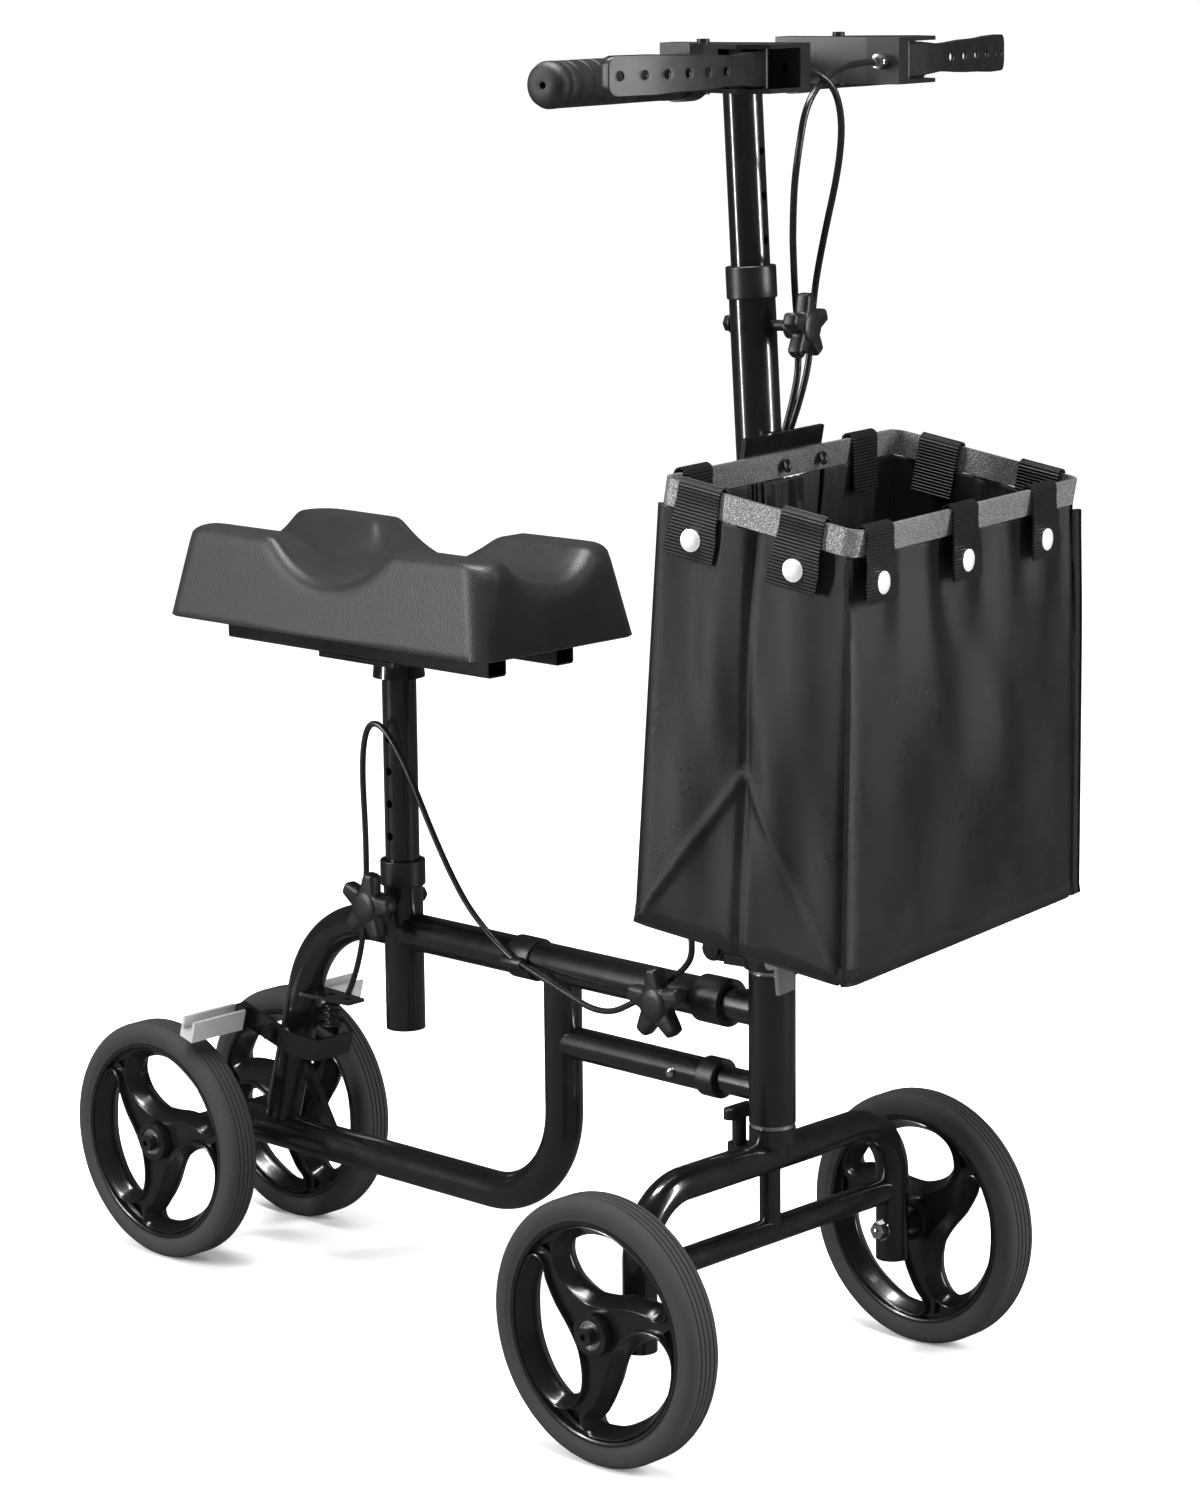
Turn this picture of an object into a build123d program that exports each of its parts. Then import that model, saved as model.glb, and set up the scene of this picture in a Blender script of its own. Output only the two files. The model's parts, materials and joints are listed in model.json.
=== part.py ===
"""Knee scooter: a steerable four-wheel walking aid with a knee pad, folding column and bag.

Millimetres, +X forward, +Y to the rider's left, +Z up. The origin is on the ground, under the
middle of the whole scooter. The steering column, basket and handlebar stand a few degrees to the
left of the wheels, so their pieces are drawn on planes of their own ("column" planes).
"""

from build123d import *
import math
import os

os.makedirs("parts", exist_ok=True)

# ---------------------------------------------------------------- driving dimensions
wheel_radius = 100.0
tyre_width = 31.0
tyre_depth = 17.0
wheelbase = 605.0
rear_track = 150.0
front_track = 360.0
rear_axle_x = -350.65

running_gap = 0.08          # sliding tubes and turning pins, on the radius
air_gap = 0.5               # between pieces that move past each other
weld_gap = 0.02             # welded or screwed pieces that meet face to face

main_tube_radius = 15.0
main_tube_height = 300.0
lower_tube_height = 103.0
sleeve_height = 240.0
tube_wall = 1.8
rear_bend_radius = 90.0
front_bend_radius = 80.0
leg_foot_offset = 58.6      # leg foot, forward of the rear axle
leg_lean = 16.0             # degrees from vertical
upright_offset = 391.7      # vertical end of the lower tube, forward of the rear axle

seat_offset = 214.4
seat_tube_radius = 15.9
seat_post_radius = 13.8
seat_tube_foot = 218.8
seat_collar_top = 358.5
seat_post_foot = 245.0
seat_post_top = 507.0
pad_length = 364.0
pad_width = 175.0
pad_bottom = 548.0
pad_height = 72.0

steer_offset = 607.5
head_tube_radius = 17.6
head_tube_foot = 216.5
head_tube_top = 331.5
steerer_radius = 12.0
column_turn = 9.2           # degrees to the left of the wheels

fork_tube_radius = 12.7
fork_crown_height = 190.0
fork_leg_y = 143.0
fork_leg_foot = 75.0
fork_bend_radius = 48.0
crossbar_height = 131.0
crossbar_radius = 9.8

stem_lean = 2.96            # degrees back from vertical
stem_reach = 9.6            # stem axis ahead of the steering axis, at the fold pivot's height
fold_pivot = (-44.0, 345.0)
stem_foot = 372.0
stem_collar_top = 850.0
lower_stem_radius = 16.8
upper_stem_radius = 14.2
bar_height = 986.0
bar_radius = 11.1
bar_half = 246.0
grip_radius = 16.0
grip_length = 158.0

basket_rear = 10.6          # rear rail's outer face, ahead of the steering axis
basket_depth = 158.0
basket_half = 159.0
basket_rear_top = 718.0
basket_front_top = 690.5
strip = 3.0
strip_height = 18.7
bag_front_foot = 379.0
bag_rear_foot = 402.0
bag_wall = 3.0

cable_radius = 2.5

# ---------------------------------------------------------------- places that follow
front_axle_x = rear_axle_x + wheelbase
seat_x = rear_axle_x + seat_offset
upright_x = rear_axle_x + upright_offset
steer_x = rear_axle_x + steer_offset
leg_foot_x = rear_axle_x + leg_foot_offset
turn = math.radians(column_turn)
lean = math.tan(math.radians(stem_lean))

column = Plane(
    origin=(steer_x, 0, 0), x_dir=(math.cos(turn), math.sin(turn), 0), z_dir=(0, 0, 1)
)


def on_column(x, y, z):
    """A point given ahead of, left of and above the steering axis's foot."""
    return column.from_local_coords((x, y, z))


def column_side(y=0.0):
    """Upright plane along the column: its x is forward, its y is up, its normal is to the right."""
    return Plane(origin=on_column(0, y, 0), x_dir=column.x_dir, z_dir=-column.y_dir)


def column_front(x=0.0):
    """Upright plane across the column: its x is to the left, its y is up, its normal is forward."""
    return Plane(origin=on_column(x, 0, 0), x_dir=column.y_dir, z_dir=column.x_dir)


def stem_x(z):
    """How far the leaning stem's axis stands ahead of the steering axis at height z."""
    return stem_reach - lean * (z - fold_pivot[1])


bar_x = stem_x(bar_height)
stem_plane = Plane(
    origin=on_column(stem_x(0.0), 0, 0),
    x_dir=column.x_dir * math.cos(math.radians(stem_lean))
    + Vector(0, 0, math.sin(math.radians(stem_lean))),
    z_dir=Vector(0, 0, math.cos(math.radians(stem_lean)))
    - column.x_dir * math.sin(math.radians(stem_lean)),
)
stem_scale = 1.0 / math.cos(math.radians(stem_lean))


def up_stem(z):
    """Plane across the stem where its axis reaches height z."""
    return stem_plane.offset(z * stem_scale)


# ---------------------------------------------------------------- frame: top tube and rear bend
leg_top = (
    leg_foot_x + (main_tube_height - lower_tube_height) * math.tan(math.radians(leg_lean)),
    0,
    main_tube_height,
)
leg_foot = (
    leg_foot_x + main_tube_radius * math.tan(math.radians(leg_lean)),
    0,
    lower_tube_height + main_tube_radius,
)
top_tube_front = rear_axle_x + 562.0
frame_knob_x = rear_axle_x + 527.0
seat_knob_z = 326.0
leg_slope = math.tan(math.radians(leg_lean))
brake_pivot_z = 198.0
brake_pivot_x = leg_foot_x + (brake_pivot_z - lower_tube_height) * leg_slope
pivot_pin_radius = 3.5
with BuildPart() as top_tube:
    with BuildSketch(Plane.YZ.offset(seat_x)):
        with Locations((0, main_tube_height)):
            Circle(main_tube_radius)
            Circle(main_tube_radius - tube_wall, mode=Mode.SUBTRACT)
    extrude(amount=top_tube_front - seat_x)
    with Locations((seat_x, 0, main_tube_height)):
        Cylinder(seat_tube_radius + weld_gap, 80, mode=Mode.SUBTRACT)
    with Locations(Location((frame_knob_x, -main_tube_radius, main_tube_height), (90, 0, 0))):
        Cylinder(4.2, 12, mode=Mode.SUBTRACT)
top_tube.part.label = "top_tube"
export_step(top_tube.part, "parts/top_tube.step")

with BuildPart() as rear_bend_tube:
    with BuildLine() as bend_path:
        FilletPolyline((seat_x, 0, main_tube_height), leg_top, leg_foot, radius=rear_bend_radius)
    with BuildSketch(Plane(origin=bend_path.line @ 0, z_dir=bend_path.line % 0)):
        Circle(main_tube_radius)
        Circle(main_tube_radius - tube_wall, mode=Mode.SUBTRACT)
    sweep()
    with Locations((seat_x, 0, main_tube_height)):
        Cylinder(seat_tube_radius + weld_gap, 80, mode=Mode.SUBTRACT)
    with Locations(Location((rear_axle_x + 150, 0, lower_tube_height), (0, 90, 0))):
        Cylinder(main_tube_radius + weld_gap, 300, mode=Mode.SUBTRACT)
    with Locations(Location((brake_pivot_x, 0, brake_pivot_z), (90, 0, 0))):
        Cylinder(pivot_pin_radius + weld_gap, 60, mode=Mode.SUBTRACT)
rear_bend_tube.part.label = "rear_bend_tube"
export_step(rear_bend_tube.part, "parts/rear_bend_tube.step")

# lower tube: from the axle tube forward, then up to the top tube
axle_tube_radius = 12.7
with BuildPart() as lower_tube:
    with BuildLine() as lower_path:
        FilletPolyline(
            (rear_axle_x + 2, 0, lower_tube_height),
            (upright_x, 0, lower_tube_height),
            (upright_x, 0, main_tube_height),
            radius=front_bend_radius,
        )
    with BuildSketch(Plane(origin=lower_path.line @ 0, z_dir=lower_path.line % 0)):
        Circle(main_tube_radius)
        Circle(main_tube_radius - tube_wall, mode=Mode.SUBTRACT)
    sweep()
    with Locations(Location((rear_axle_x, 0, wheel_radius), (90, 0, 0))):
        Cylinder(axle_tube_radius + weld_gap, 120, mode=Mode.SUBTRACT)
    with Locations(Location((rear_axle_x + 250, 0, main_tube_height), (0, 90, 0))):
        Cylinder(main_tube_radius + weld_gap, 700, mode=Mode.SUBTRACT)
    with Locations((rear_axle_x - 20, 0, wheel_radius)):
        Box(44, 80, 80, mode=Mode.SUBTRACT)
lower_tube.part.label = "lower_tube"
export_step(lower_tube.part, "parts/lower_tube.step")

seat_bore = seat_post_radius + running_gap
with BuildPart() as seat_tube:
    with BuildSketch(Plane.XY.offset(seat_tube_foot)):
        with Locations((seat_x, 0)):
            Circle(seat_tube_radius)
            Circle(seat_bore, mode=Mode.SUBTRACT)
    extrude(amount=seat_collar_top - 4 - seat_tube_foot)
    with Locations(Location((seat_x, -seat_tube_radius, seat_knob_z), (90, 0, 0))):
        Cylinder(4.2, 12, mode=Mode.SUBTRACT)
seat_tube.part.label = "seat_tube"
export_step(seat_tube.part, "parts/seat_tube.step")

rear_hub_half = 17.1
rear_inner_face = rear_track / 2 - rear_hub_half
axle_bolt_radius = 4.0
with BuildPart() as rear_axle_tube:
    with Locations(Location((rear_axle_x, 0, wheel_radius), (90, 0, 0))):
        Cylinder(axle_tube_radius, 2 * (rear_inner_face - air_gap))
        Cylinder(axle_bolt_radius + weld_gap, 200, mode=Mode.SUBTRACT)
    chamfer(rear_axle_tube.edges().filter_by(GeomType.CIRCLE).group_by(SortBy.RADIUS)[-1], 1.0)
rear_axle_tube.part.label = "rear_axle_tube"
export_step(rear_axle_tube.part, "parts/rear_axle_tube.step")

# short sleeve below the top tube, which the lower slide tube runs in
sleeve_radius = 12.7
lower_slide_radius = 10.6
sleeve_front = rear_axle_x + 556.0
button_x = rear_axle_x + 517.0
button_radius = 3.6
with BuildPart() as lower_sleeve:
    with BuildSketch(Plane.YZ.offset(upright_x)):
        with Locations((0, sleeve_height)):
            Circle(sleeve_radius)
            Circle(lower_slide_radius + running_gap, mode=Mode.SUBTRACT)
    extrude(amount=sleeve_front - upright_x)
    with Locations((upright_x, 0, sleeve_height)):
        Cylinder(main_tube_radius + weld_gap, 80, mode=Mode.SUBTRACT)
    with Locations(Location((button_x, -sleeve_radius, sleeve_height), (90, 0, 0))):
        Cylinder(button_radius + running_gap, 12, mode=Mode.SUBTRACT)
lower_sleeve.part.label = "lower_sleeve"
export_step(lower_sleeve.part, "parts/lower_sleeve.step")

# small plates welded to the leg: the gusset to the lower tube and the cable stop
stop_z = 228.0
stop_x = leg_foot_x + (stop_z - lower_tube_height) * leg_slope
boot_x = rear_axle_x + 126.0
cable_stop_x = rear_axle_x + 148.0
with BuildPart() as leg_brackets:
    with BuildSketch(Plane.XZ.offset(-3)):
        with BuildLine():
            Polyline(
                (leg_foot_x + 75 * leg_slope, 178),
                (leg_foot_x + 75 * leg_slope + 10, 178),
                (rear_axle_x + 130, 112),
                (rear_axle_x + 118, 112),
                close=True,
            )
        make_face()
    extrude(amount=6)
    with BuildSketch(Plane.XY.offset(stop_z)):
        with BuildLine():
            Polyline((stop_x, -14), (cable_stop_x + 9, -10), (cable_stop_x + 9, 8), (stop_x, 14), close=True)
        make_face()
        with Locations((cable_stop_x, -2)):
            Circle(3.4, mode=Mode.SUBTRACT)
        with Locations((boot_x, 0)):
            Circle(3.2, mode=Mode.SUBTRACT)
    extrude(amount=3)
    with Locations(Location((leg_foot_x, 0, lower_tube_height), (0, leg_lean, 0))):
        Cylinder(main_tube_radius + weld_gap, 420, mode=Mode.SUBTRACT)
    with Locations(Location((rear_axle_x + 150, 0, lower_tube_height), (0, 90, 0))):
        Cylinder(main_tube_radius + weld_gap, 300, mode=Mode.SUBTRACT)
leg_brackets.part.label = "leg_brackets"
export_step(leg_brackets.part, "parts/leg_brackets.step")


# ---------------------------------------------------------------- plastic collars at the tube mouths
def collar(plane, outer, inner, length, tube_outer, overlap):
    """A moulded ring: a deep skirt over the outer tube and a lip round the sliding tube."""
    with BuildPart() as ring:
        with BuildSketch(plane):
            Circle(outer)
            Circle(inner, mode=Mode.SUBTRACT)
        extrude(amount=length)
        with BuildSketch(plane.offset(-0.01)):
            Circle(tube_outer + weld_gap)
        extrude(amount=overlap + weld_gap, mode=Mode.SUBTRACT)
        rims = ring.edges().filter_by(GeomType.CIRCLE).group_by(SortBy.RADIUS)[-1]
        fillet(rims, 1.2)
    return ring.part


seat_collar_foot = 337.5
seat_collar_plane = Plane.XY.offset(seat_collar_foot)
seat_collar_plane.origin = (seat_x, 0, seat_collar_foot)
seat_collar = collar(
    seat_collar_plane, 18.2, seat_post_radius + air_gap, seat_collar_top - seat_collar_foot,
    seat_tube_radius, seat_collar_top - 4 - seat_collar_foot,
)
seat_collar.label = "seat_collar"
export_step(seat_collar, "parts/seat_collar.step")

upper_slide_radius = main_tube_radius - tube_wall - running_gap
upper_collar_foot = rear_axle_x + 540.0
with BuildPart() as sleeve_collars:
    add(
        collar(
            Plane(origin=(upper_collar_foot, 0, main_tube_height), x_dir=(0, 1, 0), z_dir=(1, 0, 0)),
            18.3, upper_slide_radius + air_gap, 28.0, main_tube_radius, 22.0,
        )
    )
    add(
        collar(
            Plane(origin=(rear_axle_x + 543.0, 0, sleeve_height), x_dir=(0, 1, 0), z_dir=(1, 0, 0)),
            15.4, lower_slide_radius + air_gap, 17.0, sleeve_radius, 13.0,
        )
    )
sleeve_collars.part.label = "sleeve_collars"
export_step(sleeve_collars.part, "parts/sleeve_collars.step")


# ---------------------------------------------------------------- wheels
rim_radius = wheel_radius - tyre_depth
rim_width = 25.0
spoke_width = 15.0
hub_radius = 16.0
bearing_radius = 11.0
bearing_width = 7.0


def wheel_plane(x, y, side):
    """Plane in the middle of a wheel whose outer face looks to the right (-1) or left (+1)."""
    return Plane(origin=(x, y, wheel_radius), x_dir=(-side, 0, 0), z_dir=(0, side, 0))


def tyre(plane):
    """Solid tyre: flat tread with round shoulders, seated on the rim."""
    with BuildPart() as ring:
        with BuildSketch(plane):
            Circle(wheel_radius)
            Circle(rim_radius + weld_gap, mode=Mode.SUBTRACT)
        extrude(amount=tyre_width / 2, both=True)
        fillet(ring.edges().filter_by(GeomType.CIRCLE).group_by(SortBy.RADIUS)[-1], 8.0)
    return ring.part


def rim(plane, hub_half):
    """Moulded rim with three curved spokes, a boss for two bearings, and comma-shaped openings."""
    with BuildPart() as body:
        with BuildSketch(plane):
            Circle(rim_radius)
            Circle(rim_radius - 9, mode=Mode.SUBTRACT)
        extrude(amount=rim_width / 2, both=True)
        with BuildSketch(plane):
            Circle(hub_radius)
        extrude(amount=hub_half, both=True)
        with BuildSketch(plane):
            with PolarLocations(0, 3):
                with BuildLine():
                    outer = ThreePointArc((10, -6), (44, -22), (76, 4))
                    Line(outer @ 1, (72, 22))
                    inner = ThreePointArc((72, 22), (46, -4), (8, 10))
                    Line(inner @ 1, outer @ 0)
                make_face()
        extrude(amount=spoke_width / 2, both=True)
        with BuildSketch(plane):
            Circle(bearing_radius + weld_gap)
        extrude(amount=60, both=True, mode=Mode.SUBTRACT)
        with BuildSketch(plane):
            Circle(bearing_radius + 1)
            Circle(bearing_radius - 2, mode=Mode.SUBTRACT)
        extrude(amount=hub_half - bearing_width - 1.0 - weld_gap, both=True)
    return body.part


def bearings(plane, hub_half):
    """Two flanged-face ball bearings, each as one ring, set just inside the hub's two faces."""
    with BuildPart() as pair:
        for end in (1, -1):
            with BuildSketch(plane.offset(end * (hub_half - 1.0 - bearing_width / 2))):
                Circle(bearing_radius)
                Circle(axle_bolt_radius + running_gap, mode=Mode.SUBTRACT)
            extrude(amount=bearing_width / 2, both=True)
    return pair.part


wheels = {
    "rear_right": wheel_plane(rear_axle_x, -rear_track / 2, -1),
    "rear_left": wheel_plane(rear_axle_x, rear_track / 2, 1),
    "front_right": wheel_plane(front_axle_x, -front_track / 2, -1),
    "front_left": wheel_plane(front_axle_x, front_track / 2, 1),
}
for wheel_name, plane in wheels.items():
    for piece_name, piece in (
        ("tyre", tyre(plane)),
        ("rim", rim(plane, rear_hub_half)),
        ("bearings", bearings(plane, rear_hub_half)),
    ):
        piece.label = f"{wheel_name}_{piece_name}"
        export_step(piece, f"parts/{wheel_name}_{piece_name}.step")


def axle_bolt(plane, inner_end):
    """Button-headed bolt through a hub, from its head outside the hub to inner_end inside."""
    with BuildPart() as bolt:
        with BuildSketch(plane.offset(-inner_end)):
            Circle(axle_bolt_radius)
        extrude(amount=inner_end + rear_hub_half + 1)
        with BuildSketch(plane.offset(rear_hub_half + air_gap)):
            Circle(7.0)
        extrude(amount=5.5)
        with BuildSketch(plane.offset(rear_hub_half + air_gap + 3.0)):
            RegularPolygon(2.8, 6)
        extrude(amount=6, mode=Mode.SUBTRACT)
    return bolt.part


# ---------------------------------------------------------------- rear brake
yoke_drop = 16.0
yoke_plane = Plane(
    origin=(brake_pivot_x, 0, brake_pivot_z),
    x_dir=(math.cos(math.radians(yoke_drop)), 0, -math.sin(math.radians(yoke_drop))),
    z_dir=(math.sin(math.radians(yoke_drop)), 0, math.cos(math.radians(yoke_drop))),
)
yoke_half = 31.0
yoke_thick = 3.0
yoke_height = 19.0
with BuildPart() as rear_bolts:
    for name in ("rear_right", "rear_left"):
        add(axle_bolt(wheels[name], rear_hub_half + 20))
    with Locations(Location((brake_pivot_x, 0, brake_pivot_z), (90, 0, 0))):
        Cylinder(pivot_pin_radius, 2 * yoke_half + 12)
    for side in (1, -1):
        with BuildSketch(Plane(origin=(brake_pivot_x, side * (yoke_half + air_gap), brake_pivot_z),
                               x_dir=(1, 0, 0), z_dir=(0, side, 0))):
            RegularPolygon(6.5, 6)
        extrude(amount=5)
rear_bolts.part.label = "rear_bolts"
export_step(rear_bolts.part, "parts/rear_bolts.step")

with BuildPart() as brake_yoke:
    with BuildSketch(yoke_plane):
        Polygon((-38, -31), (20, -31), (43, -20), (43, 20), (20, 31), (-38, 31), align=None)
        Polygon((-39, -28), (19, -28), (40, -18), (40, 18), (19, 28), (-39, 28), align=None,
                mode=Mode.SUBTRACT)
    extrude(amount=yoke_height / 2, both=True)
    with BuildSketch(yoke_plane):
        for side in (1, -1):
            with Locations((-33, side * (yoke_half + 4))):
                Rectangle(10, 8.1)
    extrude(amount=yoke_height / 2, both=True)
    with Locations(Location((brake_pivot_x, 0, brake_pivot_z), (90, 0, 0))):
        Cylinder(pivot_pin_radius + running_gap, 200, mode=Mode.SUBTRACT)
brake_yoke.part.label = "brake_yoke"
export_step(brake_yoke.part, "parts/brake_yoke.step")

# channel-section brake shoes, one over each rear tyre, open downward
shoe_inner = yoke_half + 8.05 + weld_gap
shoe_outer = rear_track / 2 + tyre_width / 2 + 4
with BuildPart() as brake_shoes:
    for side in (1, -1):
        with BuildSketch(Plane(origin=yoke_plane.from_local_coords((0, side * shoe_inner, 0)),
                               x_dir=yoke_plane.x_dir, z_dir=(0, side, 0))):
            with Locations((-33, 0)):
                Rectangle(15, 18)
            with Locations((-33, -4 if side > 0 else 4)):
                Rectangle(10, 11, mode=Mode.SUBTRACT)
        extrude(amount=shoe_outer - shoe_inner)
brake_shoes.part.label = "brake_shoes"
export_step(brake_shoes.part, "parts/brake_shoes.step")

# bellows over the return spring, between the cable stop and the yoke
with BuildPart() as brake_boot:
    with BuildSketch(Plane.XZ):
        with BuildLine():
            Polyline((boot_x, 205), (boot_x + 7.5, 205), (boot_x + 9.5, 208), (boot_x + 7, 211),
                     (boot_x + 9.5, 214), (boot_x + 7, 217), (boot_x + 8.5, 220), (boot_x + 6, 223),
                     (boot_x + 6, stop_z - weld_gap), (boot_x, stop_z - weld_gap), close=True)
        make_face()
    revolve(axis=Axis((boot_x, 0, 0), (0, 0, 1)))
brake_boot.part.label = "brake_boot"
export_step(brake_boot.part, "parts/brake_boot.step")


# ---------------------------------------------------------------- brake cable housings
def cable(points, radii):
    """A round cable housing: straight runs joined by tangent arcs."""
    with BuildPart() as housing:
        with BuildLine() as route:
            FilletPolyline(*points, radius=radii)
        with BuildSketch(Plane(origin=route.line @ 0, z_dir=route.line % 0)):
            Circle(cable_radius)
        sweep()
    return housing.part


cable_side = -(main_tube_radius + cable_radius + 1.0)
rear_cable_points = [
    (rear_axle_x + 528, -27.0, 315.5),
    (rear_axle_x + 500, -29.0, 296.0),
    (rear_axle_x + 462, -29.0, 277.0),
    (rear_axle_x + 366, cable_side, 305.0),
    (rear_axle_x + 297, -24.0, 352.0),
    (rear_axle_x + 230, -26.0, 474.0),
    (rear_axle_x + 196, -27.0, 470.0),
    (rear_axle_x + 200, -24.5, 346.0),
    (rear_axle_x + 186, -22.0, 270.0),
    (rear_axle_x + 150, -3.0, 236.5),
]
rear_cable_radii = [60, 60, 90, 110, 28, 26, 120, 60]
rear_cable = cable(rear_cable_points, rear_cable_radii)
rear_cable.label = "rear_brake_cable"
export_step(rear_cable, "parts/rear_brake_cable.step")

# ---------------------------------------------------------------- seat
with BuildPart() as seat_post:
    with BuildSketch(Plane.XY.offset(seat_post_foot)):
        with Locations((seat_x, 0)):
            Circle(seat_post_radius)
            Circle(seat_post_radius - tube_wall, mode=Mode.SUBTRACT)
    extrude(amount=seat_post_top - seat_post_foot)
    for z in (378.5, 405.0, 431.5, 458.0):
        with Locations(Location((seat_x, -seat_post_radius, z), (90, 0, 0))):
            Cylinder(3.4, 10, mode=Mode.SUBTRACT)
seat_post.part.label = "seat_post"
export_step(seat_post.part, "parts/seat_post.step")

rail_side = 20.0
rail_top = pad_bottom - weld_gap
rail_foot = rail_top - rail_side
with BuildPart() as seat_frame:
    for side in (1, -1):
        with BuildSketch(Plane.YZ.offset(rear_axle_x + 65)):
            with Locations((side * 37, rail_foot + rail_side / 2)):
                RectangleRounded(rail_side, rail_side, 2.5)
                RectangleRounded(rail_side - 3, rail_side - 3, 1.2, mode=Mode.SUBTRACT)
        extrude(amount=297)
    with BuildSketch(Plane.XY.offset(rail_foot - 4)):
        with Locations((seat_x, 0)):
            RectangleRounded(96, 92, 8)
    extrude(amount=4)
    with BuildSketch(Plane.XY.offset(seat_post_top)):
        with Locations((seat_x, 0)):
            Circle(21)
    extrude(amount=rail_foot - 4 - seat_post_top, taper=6)
seat_frame.part.label = "seat_frame"
export_step(seat_frame.part, "parts/seat_frame.step")

pad_x = seat_x
with BuildPart() as knee_pad:
    with BuildSketch(Plane.XY.offset(pad_bottom)):
        with Locations((pad_x, 0)):
            RectangleRounded(pad_length, pad_width, 16)
    with BuildSketch(Plane.XY.offset(pad_bottom + pad_height)):
        with Locations((pad_x, 0)):
            RectangleRounded(pad_length - 22, pad_width - 26, 20)
    loft()
    with BuildSketch(Plane.XZ):
        with Locations((pad_x, pad_bottom + pad_height + 62)):
            Circle(92)
    extrude(amount=100, both=True, mode=Mode.SUBTRACT)
    with BuildSketch(Plane.YZ.offset(pad_x)):
        with Locations((0, pad_bottom + pad_height + 30)):
            Circle(52)
    extrude(amount=300, both=True, mode=Mode.SUBTRACT)
knee_pad.part.label = "knee_pad"
export_step(knee_pad.part, "parts/knee_pad.step")

# ---------------------------------------------------------------- front section: head tube on two slides
head_bore = steerer_radius + 2.6
with BuildPart() as head_tube:
    with BuildSketch(Plane.XY.offset(head_tube_foot)):
        with Locations((steer_x, 0)):
            Circle(head_tube_radius)
            Circle(head_bore, mode=Mode.SUBTRACT)
    extrude(amount=head_tube_top - head_tube_foot)
head_tube.part.label = "head_tube"
export_step(head_tube.part, "parts/head_tube.step")

cup_lip = 3.0
with BuildPart() as headset_cups:
    for foot, skirt in ((head_tube_foot - cup_lip - weld_gap, 1), (head_tube_top + weld_gap, -1)):
        with BuildSketch(Plane.XY.offset(foot)):
            with Locations((steer_x, 0)):
                Circle(head_tube_radius - 0.6)
                Circle(steerer_radius + running_gap, mode=Mode.SUBTRACT)
        extrude(amount=cup_lip)
        with BuildSketch(Plane.XY.offset(foot + (cup_lip if skirt > 0 else -9))):
            with Locations((steer_x, 0)):
                Circle(head_bore - weld_gap)
                Circle(steerer_radius + running_gap, mode=Mode.SUBTRACT)
        extrude(amount=9)
headset_cups.part.label = "headset_cups"
export_step(headset_cups.part, "parts/headset_cups.step")

with BuildPart() as upper_slide_tube:
    with BuildSketch(Plane.YZ.offset(rear_axle_x + 440)):
        with Locations((0, main_tube_height)):
            Circle(upper_slide_radius)
            Circle(upper_slide_radius - tube_wall, mode=Mode.SUBTRACT)
    extrude(amount=steer_x - rear_axle_x - 440)
    with Locations((steer_x, 0, main_tube_height)):
        Cylinder(head_tube_radius + weld_gap, 80, mode=Mode.SUBTRACT)
upper_slide_tube.part.label = "upper_slide_tube"
export_step(upper_slide_tube.part, "parts/upper_slide_tube.step")

with BuildPart() as lower_slide_tube:
    with BuildSketch(Plane.YZ.offset(rear_axle_x + 440)):
        with Locations((0, sleeve_height)):
            Circle(lower_slide_radius)
            Circle(lower_slide_radius - tube_wall, mode=Mode.SUBTRACT)
    extrude(amount=steer_x - rear_axle_x - 440)
    with Locations((steer_x, 0, sleeve_height)):
        Cylinder(head_tube_radius + weld_gap, 80, mode=Mode.SUBTRACT)
    with Locations((button_x - 12, -lower_slide_radius, sleeve_height)):
        Box(74, 12, 9, mode=Mode.SUBTRACT)
lower_slide_tube.part.label = "lower_slide_tube"
export_step(lower_slide_tube.part, "parts/lower_slide_tube.step")

neck_points = [
    (rear_axle_x + 545, -24.0, 372.0),
    (rear_axle_x + 554, -27.0, 348.0),
    (rear_axle_x + 549, -27.5, 329.5),
    (rear_axle_x + 530, -27.0, 317.0),
]
neck_cable = cable(neck_points, [16, 16])
neck_cable.label = "neck_brake_cable"
export_step(neck_cable, "parts/neck_brake_cable.step")

# ---------------------------------------------------------------- steering: steerer, fork, fold base
base_foot = head_tube_top + 3.0 + air_gap
base_top = base_foot + 8.0
steerer_top = base_top
with BuildPart() as steerer_tube:
    with BuildSketch(Plane.XY.offset(fork_crown_height)):
        with Locations((steer_x, 0)):
            Circle(steerer_radius)
            Circle(steerer_radius - 2.2, mode=Mode.SUBTRACT)
    extrude(amount=steerer_top - fork_crown_height)
    with BuildSketch(Plane.XY.offset(fork_crown_height + fork_tube_radius - 2)):
        with Locations((steer_x, 0)):
            Circle(head_tube_radius)
    extrude(amount=head_tube_foot - cup_lip - air_gap - fork_crown_height - fork_tube_radius + 2)
    with Locations(Location((front_axle_x, 0, fork_crown_height), (90, 0, 0))):
        Cylinder(fork_tube_radius + weld_gap, 90, mode=Mode.SUBTRACT)
steerer_tube.part.label = "steerer_tube"
export_step(steerer_tube.part, "parts/steerer_tube.step")

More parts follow.
